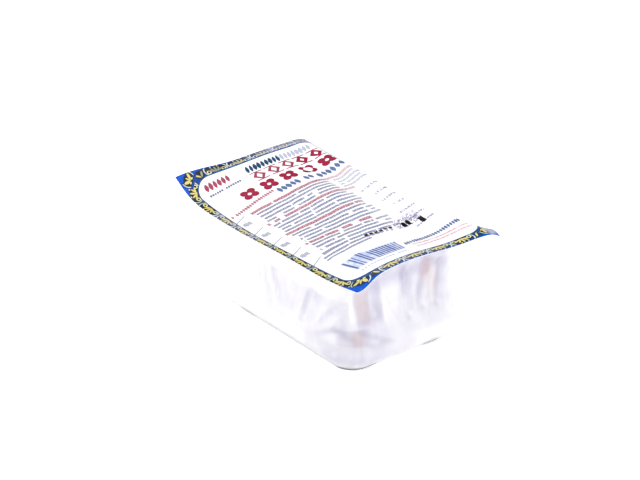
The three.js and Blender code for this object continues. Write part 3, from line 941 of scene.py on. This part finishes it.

# %% [markdown]
# ### Painted shade and light on the wall
#
# Shade and light are painted into the colour of the film and the block. Darker areas are painted
# shade: in hollows and folds, under the lid's overhang, by the water and where the film stands off
# the block, so that the shade behind it shows. Lighter areas are painted highlights, where the
# tight film reflects the bright light. Both are drawn on the unrolled
# wall, whose two measures are the place along the wall from the middle of the near front corner
# (towards the front end counts up) and the height. Fields are large areas with soft or firm
# edges; patches are soft spots and streaks, which may lean; folds are streaks with one sharp
# side. A negative amount paints light instead of shade.

# %% Fields and patches of the film
WALL_FIELDS = {          # from, to, bottom, top; softness of sides, bottom, top; lean; amount
    "belt of wrinkles": (-59.6, 1, 19.5, 38.4, 0.7, 4.0, 0.8, 0.16, 0.20),
    "left of the belt": (-72.5, -60.5, 21, 37.5, 1.4, 3.0, 2.5, 0.16, 0.06),
    "under the belt": (-72, -22, 12.5, 20, 2.5, 3.0, 3.0, 0.0, 0.06),
    "painted highlight over the belt": (-116, -5, 39.6, 60, 2.0, 0.9, 2.0, 0.0, -0.40),
    "painted light on the left": (-116, -73.5, 4, 60, 2.0, 2.0, 2.0, 0.16, -0.40),
    "painted light near the foot": (-116, -36, 4, 11.5, 4.0, 1.5, 2.5, 0.0, -0.30),
    "before the corner": (-5, 2.0, 24, 36.5, 3.0, 2.0, 2.0, 0.0, 0.10),
    "hollow beside the corner": (4.6, 20.5, 23.5, 46, 0.8, 3.0, 4.0, -0.06, 0.54),
    "band over the water": (-6.5, 10.5, 13.6, 22.2, 1.8, 1.2, 0.6, 0.0, 0.46),
    "between hollow and band": (2, 17, 20, 27, 3.0, 2.5, 2.5, 0.0, 0.22),
    "water in the corner": (-24, 21, 2.5, 13.5, 8.0, 2.0, 2.0, 0.0, 0.36),
    "behind the corner's water": (9, 26, 11, 21, 4.0, 3.0, 4.0, 0.0, 0.34),
    "under the lid's overhang": (12, 63, 42.5, 64, 4.0, 6.0, 2.0, 0.0, 0.50),
    "upper part of the end": (30, 61, 24, 48, 4.0, 4.0, 4.0, 0.0, 0.24),
    "lower part of the end": (26, 61, 12, 25, 4.0, 3.0, 4.0, 0.0, 0.18),
    "last part of the end": (56, 67.5, 21, 47, 1.5, 5.0, 4.0, 0.0, 0.26),
    "foot of the end": (18, 40, 1.5, 12, 4.0, 1.5, 3.0, 0.0, 0.14),
    "painted light at the end's foot": (40, 66, 2.5, 11.0, 4.0, 2.0, 2.0, 0.0, -0.16),
}
WALL_PATCHES = {         # place, height, reach each way, lean, amount, firmness
    "light fold beside the belt": (-61.6, 30, 1.2, 8, 0.16, -0.20, 2),
    "grey fold on the left": (-65.5, 31, 1.5, 7, 0.2, 0.12, 2),
    "light flank of the long fold": (-34.0, 27, 1.2, 9, 0.72, -0.30, 2),
    "light flank beyond": (-25.0, 25, 1.1, 7, 0.72, -0.16, 2),
    "light fold at the corner": (-18.5, 24, 1.1, 6, 1.1, -0.26, 2),
    "second light fold": (-9.5, 28, 1.0, 6, 1.1, -0.16, 2),
    "light fold on the left": (-56.0, 25, 1.0, 6, 0.5, -0.16, 2),
    "light fold in the middle": (-44, 24, 1.0, 5, 0.7, -0.14, 2),
    "low bow before the corner": (-14, 18.4, 3.8, 4.4, 2.2, 0.50, 3),
    "left part of the belt": (-55.0, 31, 2.8, 7, 0.1, 0.26, 3),
    "upper end of the folds": (-18.0, 35.4, 4.5, 3.4, 0.4, 0.34, 3),
    "below the belt": (-30, 11, 7, 3.5, 0.0, 0.13, 2),
    "right edge of the hollow": (18.5, 28, 2.6, 10, -0.1, 0.22, 3),
    "low part before the corner": (-26, 12, 10, 5, 0.0, 0.12, 3),
    "middle of the band": (-1.5, 19.2, 4.2, 2.4, 0.0, 0.36, 3),
    "warm part of the band": (4.5, 16.8, 3.8, 3.4, 0.0, 0.26, 3),
    "light fold of the corner": (2.9, 34, 1.2, 9.5, 0.0, -0.34, 3),
    "warm part of the hollow": (8.5, 34, 3.6, 9.5, -0.1, 0.26, 3),
    "bow under the hollow": (15.5, 16, 3.2, 5.5, -1.7, 0.30, 3),
    "streak in the water": (5.5, 9, 0.9, 5, 0.0, 0.24, 2),
    "shade by the foot": (-8, 6.0, 5.0, 2.4, 1.2, 0.36, 2),
    "shade at the corner's foot": (5, 5.0, 8.0, 2.6, 0.0, 0.30, 2),
    "first streak of the end": (35.4, 41, 3.4, 10, -0.28, 0.48, 3),
    "its tail": (39.2, 27, 1.7, 5, -0.2, 0.12, 2),
    "light streak between": (42.2, 34, 1.4, 10, 0.0, -0.12, 2),
    "broad streak of the end": (48.3, 45, 3.8, 8.0, 0.0, 0.60, 3),
    "shade beside the lid": (22, 47, 8, 6, 0.0, 0.16, 2),
    "its left tail": (46.4, 34, 2.6, 7.5, 0.1, 0.46, 2),
    "shade over the light streak": (41, 45, 4.0, 5.5, 0.0, 0.18, 2),
    "its right tail": (52.4, 36, 1.6, 10, 0.0, 0.32, 2),
    "light streak of the end": (49.9, 30, 0.8, 7, 0.0, -0.08, 2),
    "shade between the tails": (47.5, 30, 2.2, 5, 0.0, 0.14, 2),
    "last streak of the end": (57.6, 35, 2.2, 10, 0.0, 0.36, 2),
    "cool patch of the end": (36.5, 16.8, 4.4, 4.2, 0.0, 0.16, 3),
    "second cool patch": (52.5, 18, 8, 4.2, 0.0, 0.14, 3),
    "far along the near side": (-104.5, 31, 3.5, 8, 0.0, 0.30, 2),
}
WALL_FOLDS = {           # place, height; reach to the sharp side, to the soft side, up; lean; amount
    "edge of the belt": (-60.2, 31, 0.4, 2.2, 8, 0.16, 0.34),
    "grey fold": (-66.5, 31, 0.5, 2.0, 7, 0.2, 0.16),
    "fold on the left": (-54.5, 26, 0.4, 1.8, 6, 0.6, 0.20),
    "fold in the middle": (-42.0, 25, 0.4, 2.0, 6, 0.7, 0.20),
    "second in the middle": (-47.5, 29, 0.4, 1.6, 6, 0.5, 0.14),
    "long fold": (-31.4, 29, 0.6, 4.0, 10.5, 0.72, 0.52),
    "beyond the long fold": (-23.6, 27, 0.4, 2.2, 7, 0.8, 0.20),
    "short fold": (-16.0, 26, 0.5, 3.0, 8, 1.15, 0.36),
    "fold at the corner": (-7.8, 30, 0.4, 2.0, 6, 0.9, 0.14),
    "edge of the water": (-12.0, 9.5, 0.4, 3.0, 3.0, 2.0, 0.14),
    "fold of the end": (25.5, 30, 0.5, 2.4, 9, -0.5, 0.16),
    "second of the end": (42.6, 31, 0.4, 2.0, 9, 0.0, 0.16),
}
# where the painted shade turns warm instead of lavender
WARM_PATCHES = {
    "hollow": (9.0, 34, 4.6, 10.5, -0.1, 1.0, 3), "band": (4.8, 17, 4.2, 3.8, 0.0, 1.0, 3),
    "broad streak": (48.5, 44, 3.8, 9, 0.0, 0.8, 2), "last streaks": (54.5, 34, 4.5, 11, 0.0, 0.9, 2),
}
middle_of_corner = way_round[np.argmin(np.abs(outward_angle - 1.75 * np.pi))]
whole_way = steps_round.sum()


def past(place):
    """How far each station lies past a place on the way round, the shorter way."""
    return (way_round - place + whole_way / 2) % whole_way - whole_way / 2


from_corner = past(middle_of_corner)


def patches(table, height):
    """Sum of soft patches over the stations at a height, for each of a table's rows."""
    total = np.zeros(np.broadcast(from_corner, height).shape)
    sway = 0.8 * closed_noise(way_round, height, 6.0, 5.0, 41)
    heave = 0.9 * closed_noise(way_round, height, 5.0, 9.0, 42)
    for place, level, reach, reach_height, lean, amount, firmness in table.values():
        u = (from_corner + sway - place - lean * (height - level)) / reach
        v = (height + heave - level) / reach_height
        total += amount * np.exp(-(np.abs(u) ** firmness + np.abs(v) ** firmness))
    return total


def folds(height):
    """Sum of the folds' painted shade, each sharp on the side that counts down and soft on the other."""
    total = np.zeros(np.broadcast(from_corner, height).shape)
    sway = 0.6 * closed_noise(way_round, height, 7.0, 6.0, 44)
    for place, level, sharp, soft, reach_height, lean, amount in WALL_FOLDS.values():
        u = from_corner + sway - place - lean * (height - level)
        v = (height - level) / reach_height
        total += amount * np.exp(-((u / np.where(u < 0, sharp, soft)) ** 2 + v ** 4))
    return total


def fields(height):
    """Sum of the large areas at a height."""
    total = np.zeros(np.broadcast(from_corner, height).shape)
    wavy = 0.7 * closed_noise(way_round, height, 9.0, 7.0, 43)
    for start, end, bottom, top, side, low, high, lean, amount in WALL_FIELDS.values():
        u = from_corner + wavy - lean * (height - (bottom + top) / 2)
        inside = soft_step(u, start - side, start + side) * (1 - soft_step(u, end - side, end + side))
        v = height + wavy * 0.4
        total += (amount * inside * soft_step(v, bottom - low, bottom + low)
                  * (1 - soft_step(v, top - high, top + high)))
    return total


def painted_shade_and_light(height):
    """Painted shade (above 0) and painted light (below 0) of the wall: fields, patches and folds, a
    rule's worth of painted shade on the other walls and a faint one along the wrinkles.
    """
    other_walls = 1 - soft_step(from_corner, -124, -114) * (1 - soft_step(from_corner, 64, 76))
    by_rule = soft_step(closed_noise(way_round, height, 8.0, 22.0, 31), 0.05, 0.9) * 0.45
    leaning = way_round - NEAR_SHARE * NEAR_LEAN * height
    fine = (1 - np.abs(closed_noise(leaning, height, 3.6, 13.0, 5))) ** 2
    foot_and_rim = soft_step(height, 8, 16) * (1 - soft_step(height, 44, 54))
    area = fields(height)
    return np.clip(area + patches(WALL_PATCHES, height) + folds(height)
                   + other_walls * by_rule * foot_and_rim
                   + 0.14 * (0.4 - fine) * soft_step(area, 0.02, 0.15), -0.5, 1.2)


# painted contact shadow along the foot, strongest at these places
CONTACT_SHADOW_LINE = {                        # place along the wall, half length, darkness
    "left end": (-90, 8, 0.95), "near side": (-48, 38, 0.55), "corner": (3, 16, 1.0),
    "front end": (51, 5, 1.0), "back and far sides": (185, 95, 0.40),
}


def painted_contact_shadow(height):
    """Painted contact shadow: the thin dark line where the film turns under the pack and meets the floor.
    """
    strength = 0.0
    for place, reach, amount in CONTACT_SHADOW_LINE.values():
        off = np.abs(past(middle_of_corner + place))
        strength = np.maximum(strength, amount * (1 - soft_step(off, reach * 0.7, reach * 1.2)))
    return strength * np.exp(-(height / 1.7) ** 4)


print(len(WALL_FIELDS), "fields,", len(WALL_PATCHES), "patches,", len(WALL_FOLDS), "folds")

# %% [markdown]
# ### The shell
#
# The outer face of the film starts at the flange's edge under the lid, runs in to a soft bend,
# down the wall and round the belly to the sole. Solidify then gives it a real thickness, inwards,
# so it has two faces as clear film does. How far the film is creased is kept as an
# attribute, because creased film is a little milky.

# %% Loft the film
FILM = 0.22                                      # thickness of the pocket's film
SEAL_GAP = 0.05
UNDER_LID = LID_FILM + SEAL_GAP
BEND_RADIUS = 2.5
LID_OUTLINE = np.array((LID_LENGTH / 2, LID_WIDTH / 2, 1.0, 0.0))
FLANGE_ROWS, BEND_ROWS, WALL_ROWS, FOOT_ROWS = 7, 6, 66, 14
SOLE_SHARES = (0.93, 0.8, 0.55, 0.25)            # rows of the sole, as shares of its half sizes
wall_top = lid_height(rim_x, rim_y) - UNDER_LID - FILM - BEND_RADIUS


def film_face(height, inset=0.0):
    """A point of the film's outer face at a height, or of a face that lies inside it by an inset."""
    fall = np.clip((wall_top - height) / (wall_top - BELLY_HEIGHT), 0, 1)
    size = section_at(RIM_HEIGHT + (BELLY_HEIGHT - RIM_HEIGHT) * fall)
    rise = np.clip(height / BELLY_HEIGHT, 0, 1)
    foot_size = FOOT + (POCKET_SECTIONS[0, 1:] - FOOT) * np.sqrt(1 - (1 - rise) ** 2)[..., None]
    size = np.where((height < BELLY_HEIGHT)[..., None], foot_size, size)
    x, y = plan_ring(size)
    out = wrinkle_relief(height) - crease_depth(x, y, height) - inset
    return x + out * OUT_X, y + out * OUT_Y, height


def wall_at(fall, inset=0.0):
    """The same, by how far down the wall: fall 0 under the bend, 1 at the belly."""
    return film_face(wall_top + (BELLY_HEIGHT - wall_top) * fall, inset)


def foot_at(turn, inset=0.0):
    """From the belly (turn 0) round to the sole's edge (turn 1), a quarter of an ellipse."""
    cosine, rise = np.cos(turn * np.pi / 2), np.sin(turn * np.pi / 2)
    x, y = plan_ring(FOOT + (POCKET_SECTIONS[0, 1:] - FOOT) * cosine)
    height = np.full_like(x, BELLY_HEIGHT * (1 - rise) + inset * rise)
    out = wrinkle_relief(height) - inset * cosine
    return x + out * OUT_X, y + out * OUT_Y, height


def sole_at(share, inset=0.0):
    x, y, height = foot_at(1.0, inset)
    middle = FOOT[3]
    return middle + (x - middle) * share, y * share, height


def foot_and_sole(inset=0.0):
    return ([foot_at(t, inset) for t in np.linspace(0, 1, FOOT_ROWS + 1)]
            + [sole_at(share, inset) for share in SOLE_SHARES])


rows = []
bend_start = RIM + np.array((BEND_RADIUS, BEND_RADIUS, BEND_RADIUS, 0))
for t in np.arange(FLANGE_ROWS) / FLANGE_ROWS:
    x, y = plan_ring(LID_OUTLINE + (bend_start - LID_OUTLINE) * t)
    rows.append((x, y, lid_height(x, y) - UNDER_LID - FILM))
for t in np.arange(BEND_ROWS) / BEND_ROWS * np.pi / 2:
    out = BEND_RADIUS * (1 - np.sin(t))
    x, y = rim_x + out * OUT_X, rim_y + out * OUT_Y
    rows.append((x, y, lid_height(x, y) - UNDER_LID - FILM - BEND_RADIUS * (1 - np.cos(t))))
rows += [wall_at(t) for t in np.arange(WALL_ROWS) / WALL_ROWS]
rows += foot_and_sole()
print("film has", len(rows), "rows")


# %% Turn rows into a mesh
def loft(name, rows, pole_first=None, pole_last=None):
    """Joins rows of stations with quads, outward side out; a pole closes an end to a point."""
    points = np.array([np.stack(np.broadcast_arrays(*row), 1) for row in rows])
    count = points.shape[1]
    vertices = [tuple(p) for p in points.reshape(-1, 3) * MM]
    here = np.arange(count)
    after = (here + 1) % count
    faces = []
    for a in range(0, (len(rows) - 1) * count, count):
        b = a + count
        faces += np.stack((a + here, b + here, b + after, a + after), 1).tolist()
    base = (len(rows) - 1) * count
    for pole, around in ((pole_first, (here, after)), (pole_last, (base + after, base + here))):
        if pole is not None:
            vertices.append(tuple(np.array(pole) * MM))
            faces += [(len(vertices) - 1, *pair) for pair in np.stack(around, 1).tolist()]
    mesh = bpy.data.meshes.new(name)
    mesh.from_pydata(vertices, [], faces)
    mesh.shade_smooth()
    made = bpy.data.objects.new(name, mesh)
    bpy.context.collection.objects.link(made)
    return made


pocket = loft("pocket_film", rows, pole_last=(FOOT[3], 0, 0))


def warmth(x, y, height): return patches(WARM_PATCHES, height)
def darkness(x, y, height): return painted_shade_and_light(height)
def contact(x, y, height): return painted_contact_shadow(height)


def keep_by_row(piece, rows, fields):
    """Stores fields over the rows' points as attributes of a lofted piece, with 0 at its poles."""
    for name, field in fields.items():
        values = np.zeros(len(piece.data.vertices), np.float32)
        by_row = [np.broadcast_to(field(*row), way_round.shape) for row in rows]
        values[:len(rows) * len(way_round)] = np.concatenate(by_row)
        piece.data.attributes.new(name, "FLOAT", "POINT").data.foreach_set("value", values)


# the painted shade and light, its warm tint and the painted contact shadow are kept as attributes too
keep_by_row(pocket, rows, {"creased": crease_depth, "dark behind": darkness, "warm": warmth,
                           "foot line": contact})
wall_thickness = pocket.modifiers.new("film thickness", "SOLIDIFY")
wall_thickness.thickness = FILM * MM
wall_thickness.offset = -1
wall_thickness.material_offset = 1                # the film's inner face has a finish of its own
wall_thickness.material_offset_rim = 1
print("pocket film:", len(pocket.data.polygons), "faces before its thickness")

# %% [markdown]
# ## The block of tofu
#
# The block fills the pocket nearly to the film, but it is cut square and then softened, so it
# stands off the film at the near front corner and curves in under itself at the foot. It is
# lofted from the pocket's own sections, drawn in by a gap that grows towards that corner.

# %% Loft the block
BLOCK_FOOT_HEIGHT = 0.35
BLOCK_TOP_ROUND = 4.0
BLOCK_UNDER_LID = 1.4
BLOCK_TOP_MIDDLE = -1.4                          # the plan's middle at the rim, along x
WET_CORNER_REACH = 15.0
wet_corner = np.exp(-(from_corner / WET_CORNER_REACH) ** 2)    # 1 at the near front corner
block_gap = FILM + 0.45 + 2.3 * wet_corner
block_edge_height = 4.0 + 18.0 * wet_corner           # the rounded lower edge
block_edge_width = 1.4 + 5.0 * wet_corner


def block_top_at(share):
    x, y, _ = film_face(np.full_like(rim_x, 52.0), block_gap + BLOCK_TOP_ROUND)
    x, y = (x - BLOCK_TOP_MIDDLE) * share + BLOCK_TOP_MIDDLE, y * share
    return x, y, lid_height(x, y) - BLOCK_UNDER_LID


block_rows = [block_top_at(t) for t in (0.03, 0.2, 0.4, 0.6, 0.8, 0.93)]
for turn in np.linspace(0, np.pi / 2, 7):
    x, y, _ = film_face(np.full_like(rim_x, 50.0), block_gap + BLOCK_TOP_ROUND * (1 - np.sin(turn)))
    below_lid = BLOCK_UNDER_LID + BLOCK_TOP_ROUND * (1 - np.cos(turn))
    block_rows.append((x, y, lid_height(x, y) - below_lid))
top_of_wall = block_rows[-1][2]
for t in np.linspace(0, 1, 52)[1:-1]:
    block_rows.append(film_face(top_of_wall + (block_edge_height - top_of_wall) * t, block_gap))
for turn in np.linspace(0, np.pi / 2, 14):
    height = block_edge_height - (block_edge_height - BLOCK_FOOT_HEIGHT) * np.sin(turn)
    block_rows.append(film_face(height, block_gap + block_edge_width * (1 - np.cos(turn))))
last_x, last_y, last_z = block_rows[-1]
SOLE_MIDDLE = FOOT[3]
block_rows += [((last_x - SOLE_MIDDLE) * share + SOLE_MIDDLE, last_y * share, last_z)
               for share in (0.9, 0.7, 0.45, 0.2)]
top_pole = (BLOCK_TOP_MIDDLE, 0, lid_height(BLOCK_TOP_MIDDLE, 0.0) - BLOCK_UNDER_LID)
block = loft("tofu_block", block_rows, top_pole, (SOLE_MIDDLE, 0, BLOCK_FOOT_HEIGHT))
keep_by_row(block, block_rows, {"dark behind": darkness, "warm": warmth})
print("block:", len(block.data.polygons), "faces")

# %% [markdown]
# ## The packing water
#
# A little cloudy water lies in the pocket's foot, round the block's lower edge. Its outside
# follows the film and reaches just into it, so that no gap of air shows between the two, and its
# level top is hidden where the block stands in it.

# %% Fill in the water
WATER_LEVEL = 12.5
DRY_RECESS = 0.7                                 # where the block lies on the film, no water shows
INTO_FILM = FILM / 2 + DRY_RECESS * (1 - soft_step(wet_corner, 0.02, 0.7))
water_rows = []
for share in (0.3, 0.7, 0.97):
    x, y, z = film_face(np.full_like(rim_x, WATER_LEVEL), INTO_FILM)
    water_rows.append(((x - SOLE_MIDDLE) * share + SOLE_MIDDLE, y * share, z))
for height in np.linspace(WATER_LEVEL, BELLY_HEIGHT, 7)[:-1]:
    water_rows.append(film_face(np.full_like(rim_x, height), INTO_FILM))
water_rows += foot_and_sole(INTO_FILM)
water = loft("packing_water", water_rows, (SOLE_MIDDLE, 0, WATER_LEVEL),
             (SOLE_MIDDLE, 0, FILM / 2 + DRY_RECESS))
print("water:", len(water.data.polygons), "faces, level at", WATER_LEVEL, "mm")

# %% [markdown]
# ## Finishes of the pocket, block and water
#
# Clear film is mostly seen by its gloss, and by a faint milkiness where it is creased. So it is a
# glossy surface of low alpha: light and shadow pass through, and the highlights stay. Its inner
# face has a fainter veil and no gloss, so that only the outer face shines. The tofu is a matt,
# moist white that scatters light inside itself, with fine pores. The water is a thin, cool veil.

# %% Clear film
# colours of the painted shade, cool and warm, of the painted highlight and of the painted contact shadow
LAVENDER_SHADE, WARM_SHADE = (0.50, 0.485, 0.60, 1), (0.53, 0.44, 0.48, 1)
PAINTED_HIGHLIGHT_WHITE, VEIL = (0.95, 0.95, 0.95, 1), (0.84, 0.83, 0.86, 1)
CONTACT_SHADOW_DARK = (0.10, 0.085, 0.10, 1)


def shaded(graph, light):
    """A light colour that turns to a painted cool or warm shade where the wall has painted shade, and to
    painted white where it has painted light.
    """
    dark = attribute(graph, "dark behind")
    shade = paint(LAVENDER_SHADE, ramp(attribute(graph, "warm"), 0.1, 0.9), WARM_SHADE)
    # painted highlight: the light colour turns white where painted light lies
    light = paint(light, ramp(dark, -0.03, -0.35), PAINTED_HIGHLIGHT_WHITE)
    return paint(light, dark.maths("MAXIMUM", 0.0, clamp=True), shade), dark


film, film_graph = new_surface("clear_pocket_film", {"IOR": 1.6})
cloud, milky = texture(film_graph, 60.0, 3.0), ramp(attribute(film_graph, "creased"), 0.1, 1.3)
film_colour, dark = shaded(film_graph, VEIL)
at_floor, white_streak = attribute(film_graph, "foot line"), ramp(dark, 0.0, -0.25)
crumple = texture(film_graph, 150.0, 2.0, Distortion=0.6) * 0.8 + texture(film_graph, 420.0, 2.0) * 0.2
# the painted contact shadow darkens the film's foot, and where painted light lies the film is more opaque
feed(film_graph, {
    "Base Color": paint(film_colour, at_floor, CONTACT_SHADOW_DARK),
    "Alpha": (0.48 + milky * 0.12 + white_streak * 0.25 + ramp(cloud, 0.45, 0.75) * 0.08
              + at_floor * 0.44),
    "Roughness": 0.10 + cloud * 0.14 + milky * 0.08,
    "Normal": bumps(film_graph, 0.20, 0.3, crumple)})
pocket.data.materials.append(film)

inner_film, inner_graph = new_surface("clear_pocket_film_inner_face", {
    "IOR": 1.1, "Specular IOR Level": 0.0})
cloud = texture(inner_graph, 60.0, 3.0)
feed(inner_graph, {"Base Color": shaded(inner_graph, VEIL)[0], "Roughness": 0.3 + cloud * 0.2,
                   "Alpha": 0.16 + ramp(cloud, 0.45, 0.75) * 0.08})
pocket.data.materials.append(inner_film)
print("film alpha from 0.48 outside and from 0.16 inside")

# %% Moist tofu
PORES_PER_METRE = 520.0
tofu, tofu_graph = new_surface("moist_tofu", {
    "Roughness": 0.45, "IOR": 1.38, "Subsurface Weight": 0.3, "Subsurface Scale": 0.004,
    "Subsurface Radius": (1.0, 0.85, 0.75)})
where = tofu_graph.node("ShaderNodeTexCoord").output("Object")
mottle = texture(tofu_graph, 45.0, 4.0)
pores = tofu_graph.node("ShaderNodeTexVoronoi", inputs={"Vector": where, "Scale": PORES_PER_METRE})
light_tofu = paint((0.70, 0.685, 0.715, 1), ramp(mottle, 0.35, 0.65), (0.75, 0.735, 0.765, 1))
# the block's colour carries the same painted shade and light as the film
feed(tofu_graph, {"Base Color": shaded(tofu_graph, light_tofu)[0],
                  "Normal": bumps(tofu_graph, 0.3, 0.3, mottle + ramp(pores, 0.0, 0.25) * 0.4)})
block.data.materials.append(tofu)
print("tofu: pores about", round(1000 / PORES_PER_METRE, 1), "mm apart")

# %% Cloudy water
cloudy, cloudy_graph = new_surface("cloudy_water", {
    "Base Color": (0.80, 0.785, 0.86, 1), "Roughness": 0.08, "IOR": 1.33})
feed(cloudy_graph, {"Alpha": 0.55 + ramp(texture(cloudy_graph, 55.0, 2.0), 0.35, 0.7) * 0.2})
water.data.materials.append(cloudy)
print("water alpha from 0.55 to 0.75")

# %% [markdown]
# ## Floor and light
#
# The pack stands on a plain white floor in soft, bright studio light: a white surround for the
# fill, one large soft box high on the left for shape, and the plain Standard view so that white
# stays white.

# %% Floor, soft boxes and surround
FLOOR_REACH = 5.0                                # in metres
FLOOR_GLOW = 0.45                                # a light table: it fills the shadows from below
floor_mesh = bpy.data.meshes.new("floor")
corners = np.array([(-1, -1, 0), (1, -1, 0), (1, 1, 0), (-1, 1, 0)]) * FLOOR_REACH
floor_mesh.from_pydata(corners.tolist(), [], [(0, 1, 2, 3)])
floor = bpy.data.objects.new("floor", floor_mesh)
bpy.context.collection.objects.link(floor)
white_floor, floor_graph = new_surface("white_floor", {
    "Roughness": 0.9, "Specular IOR Level": 0.1,
    "Emission Color": (1.0, 1.0, 1.0, 1), "Emission Strength": FLOOR_GLOW})
grain = texture(floor_graph, 30.0, 3.0)
feed(floor_graph, {"Base Color": paint((0.88, 0.88, 0.88, 1), grain, (0.92, 0.92, 0.92, 1))})
floor.data.materials.append(white_floor)

SURROUND_FILL, SURROUND_ABOVE, SURROUND_BEHIND = 0.75, 1.0, 0.10
world = bpy.data.worlds.new("surround")
world.use_nodes = True
sky = Value(world.node_tree)
towards = sky.node("ShaderNodeSeparateXYZ", inputs={0: sky.node("ShaderNodeTexCoord")})
BEHIND_X, BEHIND_Y = -0.46, 0.89                # unit direction away from the camera, in plan
behind = towards.output("Y") * BEHIND_Y + towards.output("X") * BEHIND_X
high = ramp(towards.output("Z"), 0.58, 0.80)
low_behind = ramp(behind, 0.55, 0.90) * (1 - high)
brightness = SURROUND_FILL + high * (SURROUND_ABOVE - SURROUND_FILL)
brightness = brightness * (1 - low_behind) + low_behind * SURROUND_BEHIND
background = world.node_tree.nodes["Background"]
background.inputs["Color"].default_value = (1, 1, 1, 1)
world.node_tree.links.new(brightness.socket, background.inputs["Strength"])
bpy.context.scene.world = world


LIT_POINT = Vector((0, 0, 0.03))                 # the middle of the pack


def soft_box(name, place, size, power):
    light = bpy.data.lights.new(name, "AREA")
    light.shape, light.energy = "RECTANGLE", power
    light.size, light.size_y = size
    holder = bpy.data.objects.new(name, light)
    bpy.context.collection.objects.link(holder)
    turned = (LIT_POINT - Vector(place)).to_track_quat("-Z", "Y").to_matrix().to_4x4()
    holder.matrix_world = Matrix.Translation(Vector(place)) @ turned


soft_box("soft box above", (-0.35, 0.25, 1.3), (1.2, 1.0), 8.0)
soft_box("soft box left", (-0.75, -0.95, 0.75), (0.5, 0.5), 9.0)
soft_box("soft box right", (1.15, 0.25, 0.42), (0.8, 0.6), 7.0)
bpy.context.scene.view_settings.view_transform = "Standard"
bpy.context.scene.view_settings.look = "None"
print("floor reach", FLOOR_REACH, "m")

# %% [markdown]
# ## Onto the frame
#
# Every piece rides on the pack's one body. The lid stands for the CAD lid; the film, the block
# and the water together stand for the CAD pocket, which is one solid.

# %% Ride and replace
for piece, node, slot in ((lid, "printed_lid", "printed_film"),
                          (pocket, "film_pocket", "filled_clear_film"),
                          (block, "film_pocket", "filled_clear_film"),
                          (water, "film_pocket", "filled_clear_film")):
    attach(piece, "root")
    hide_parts(node)
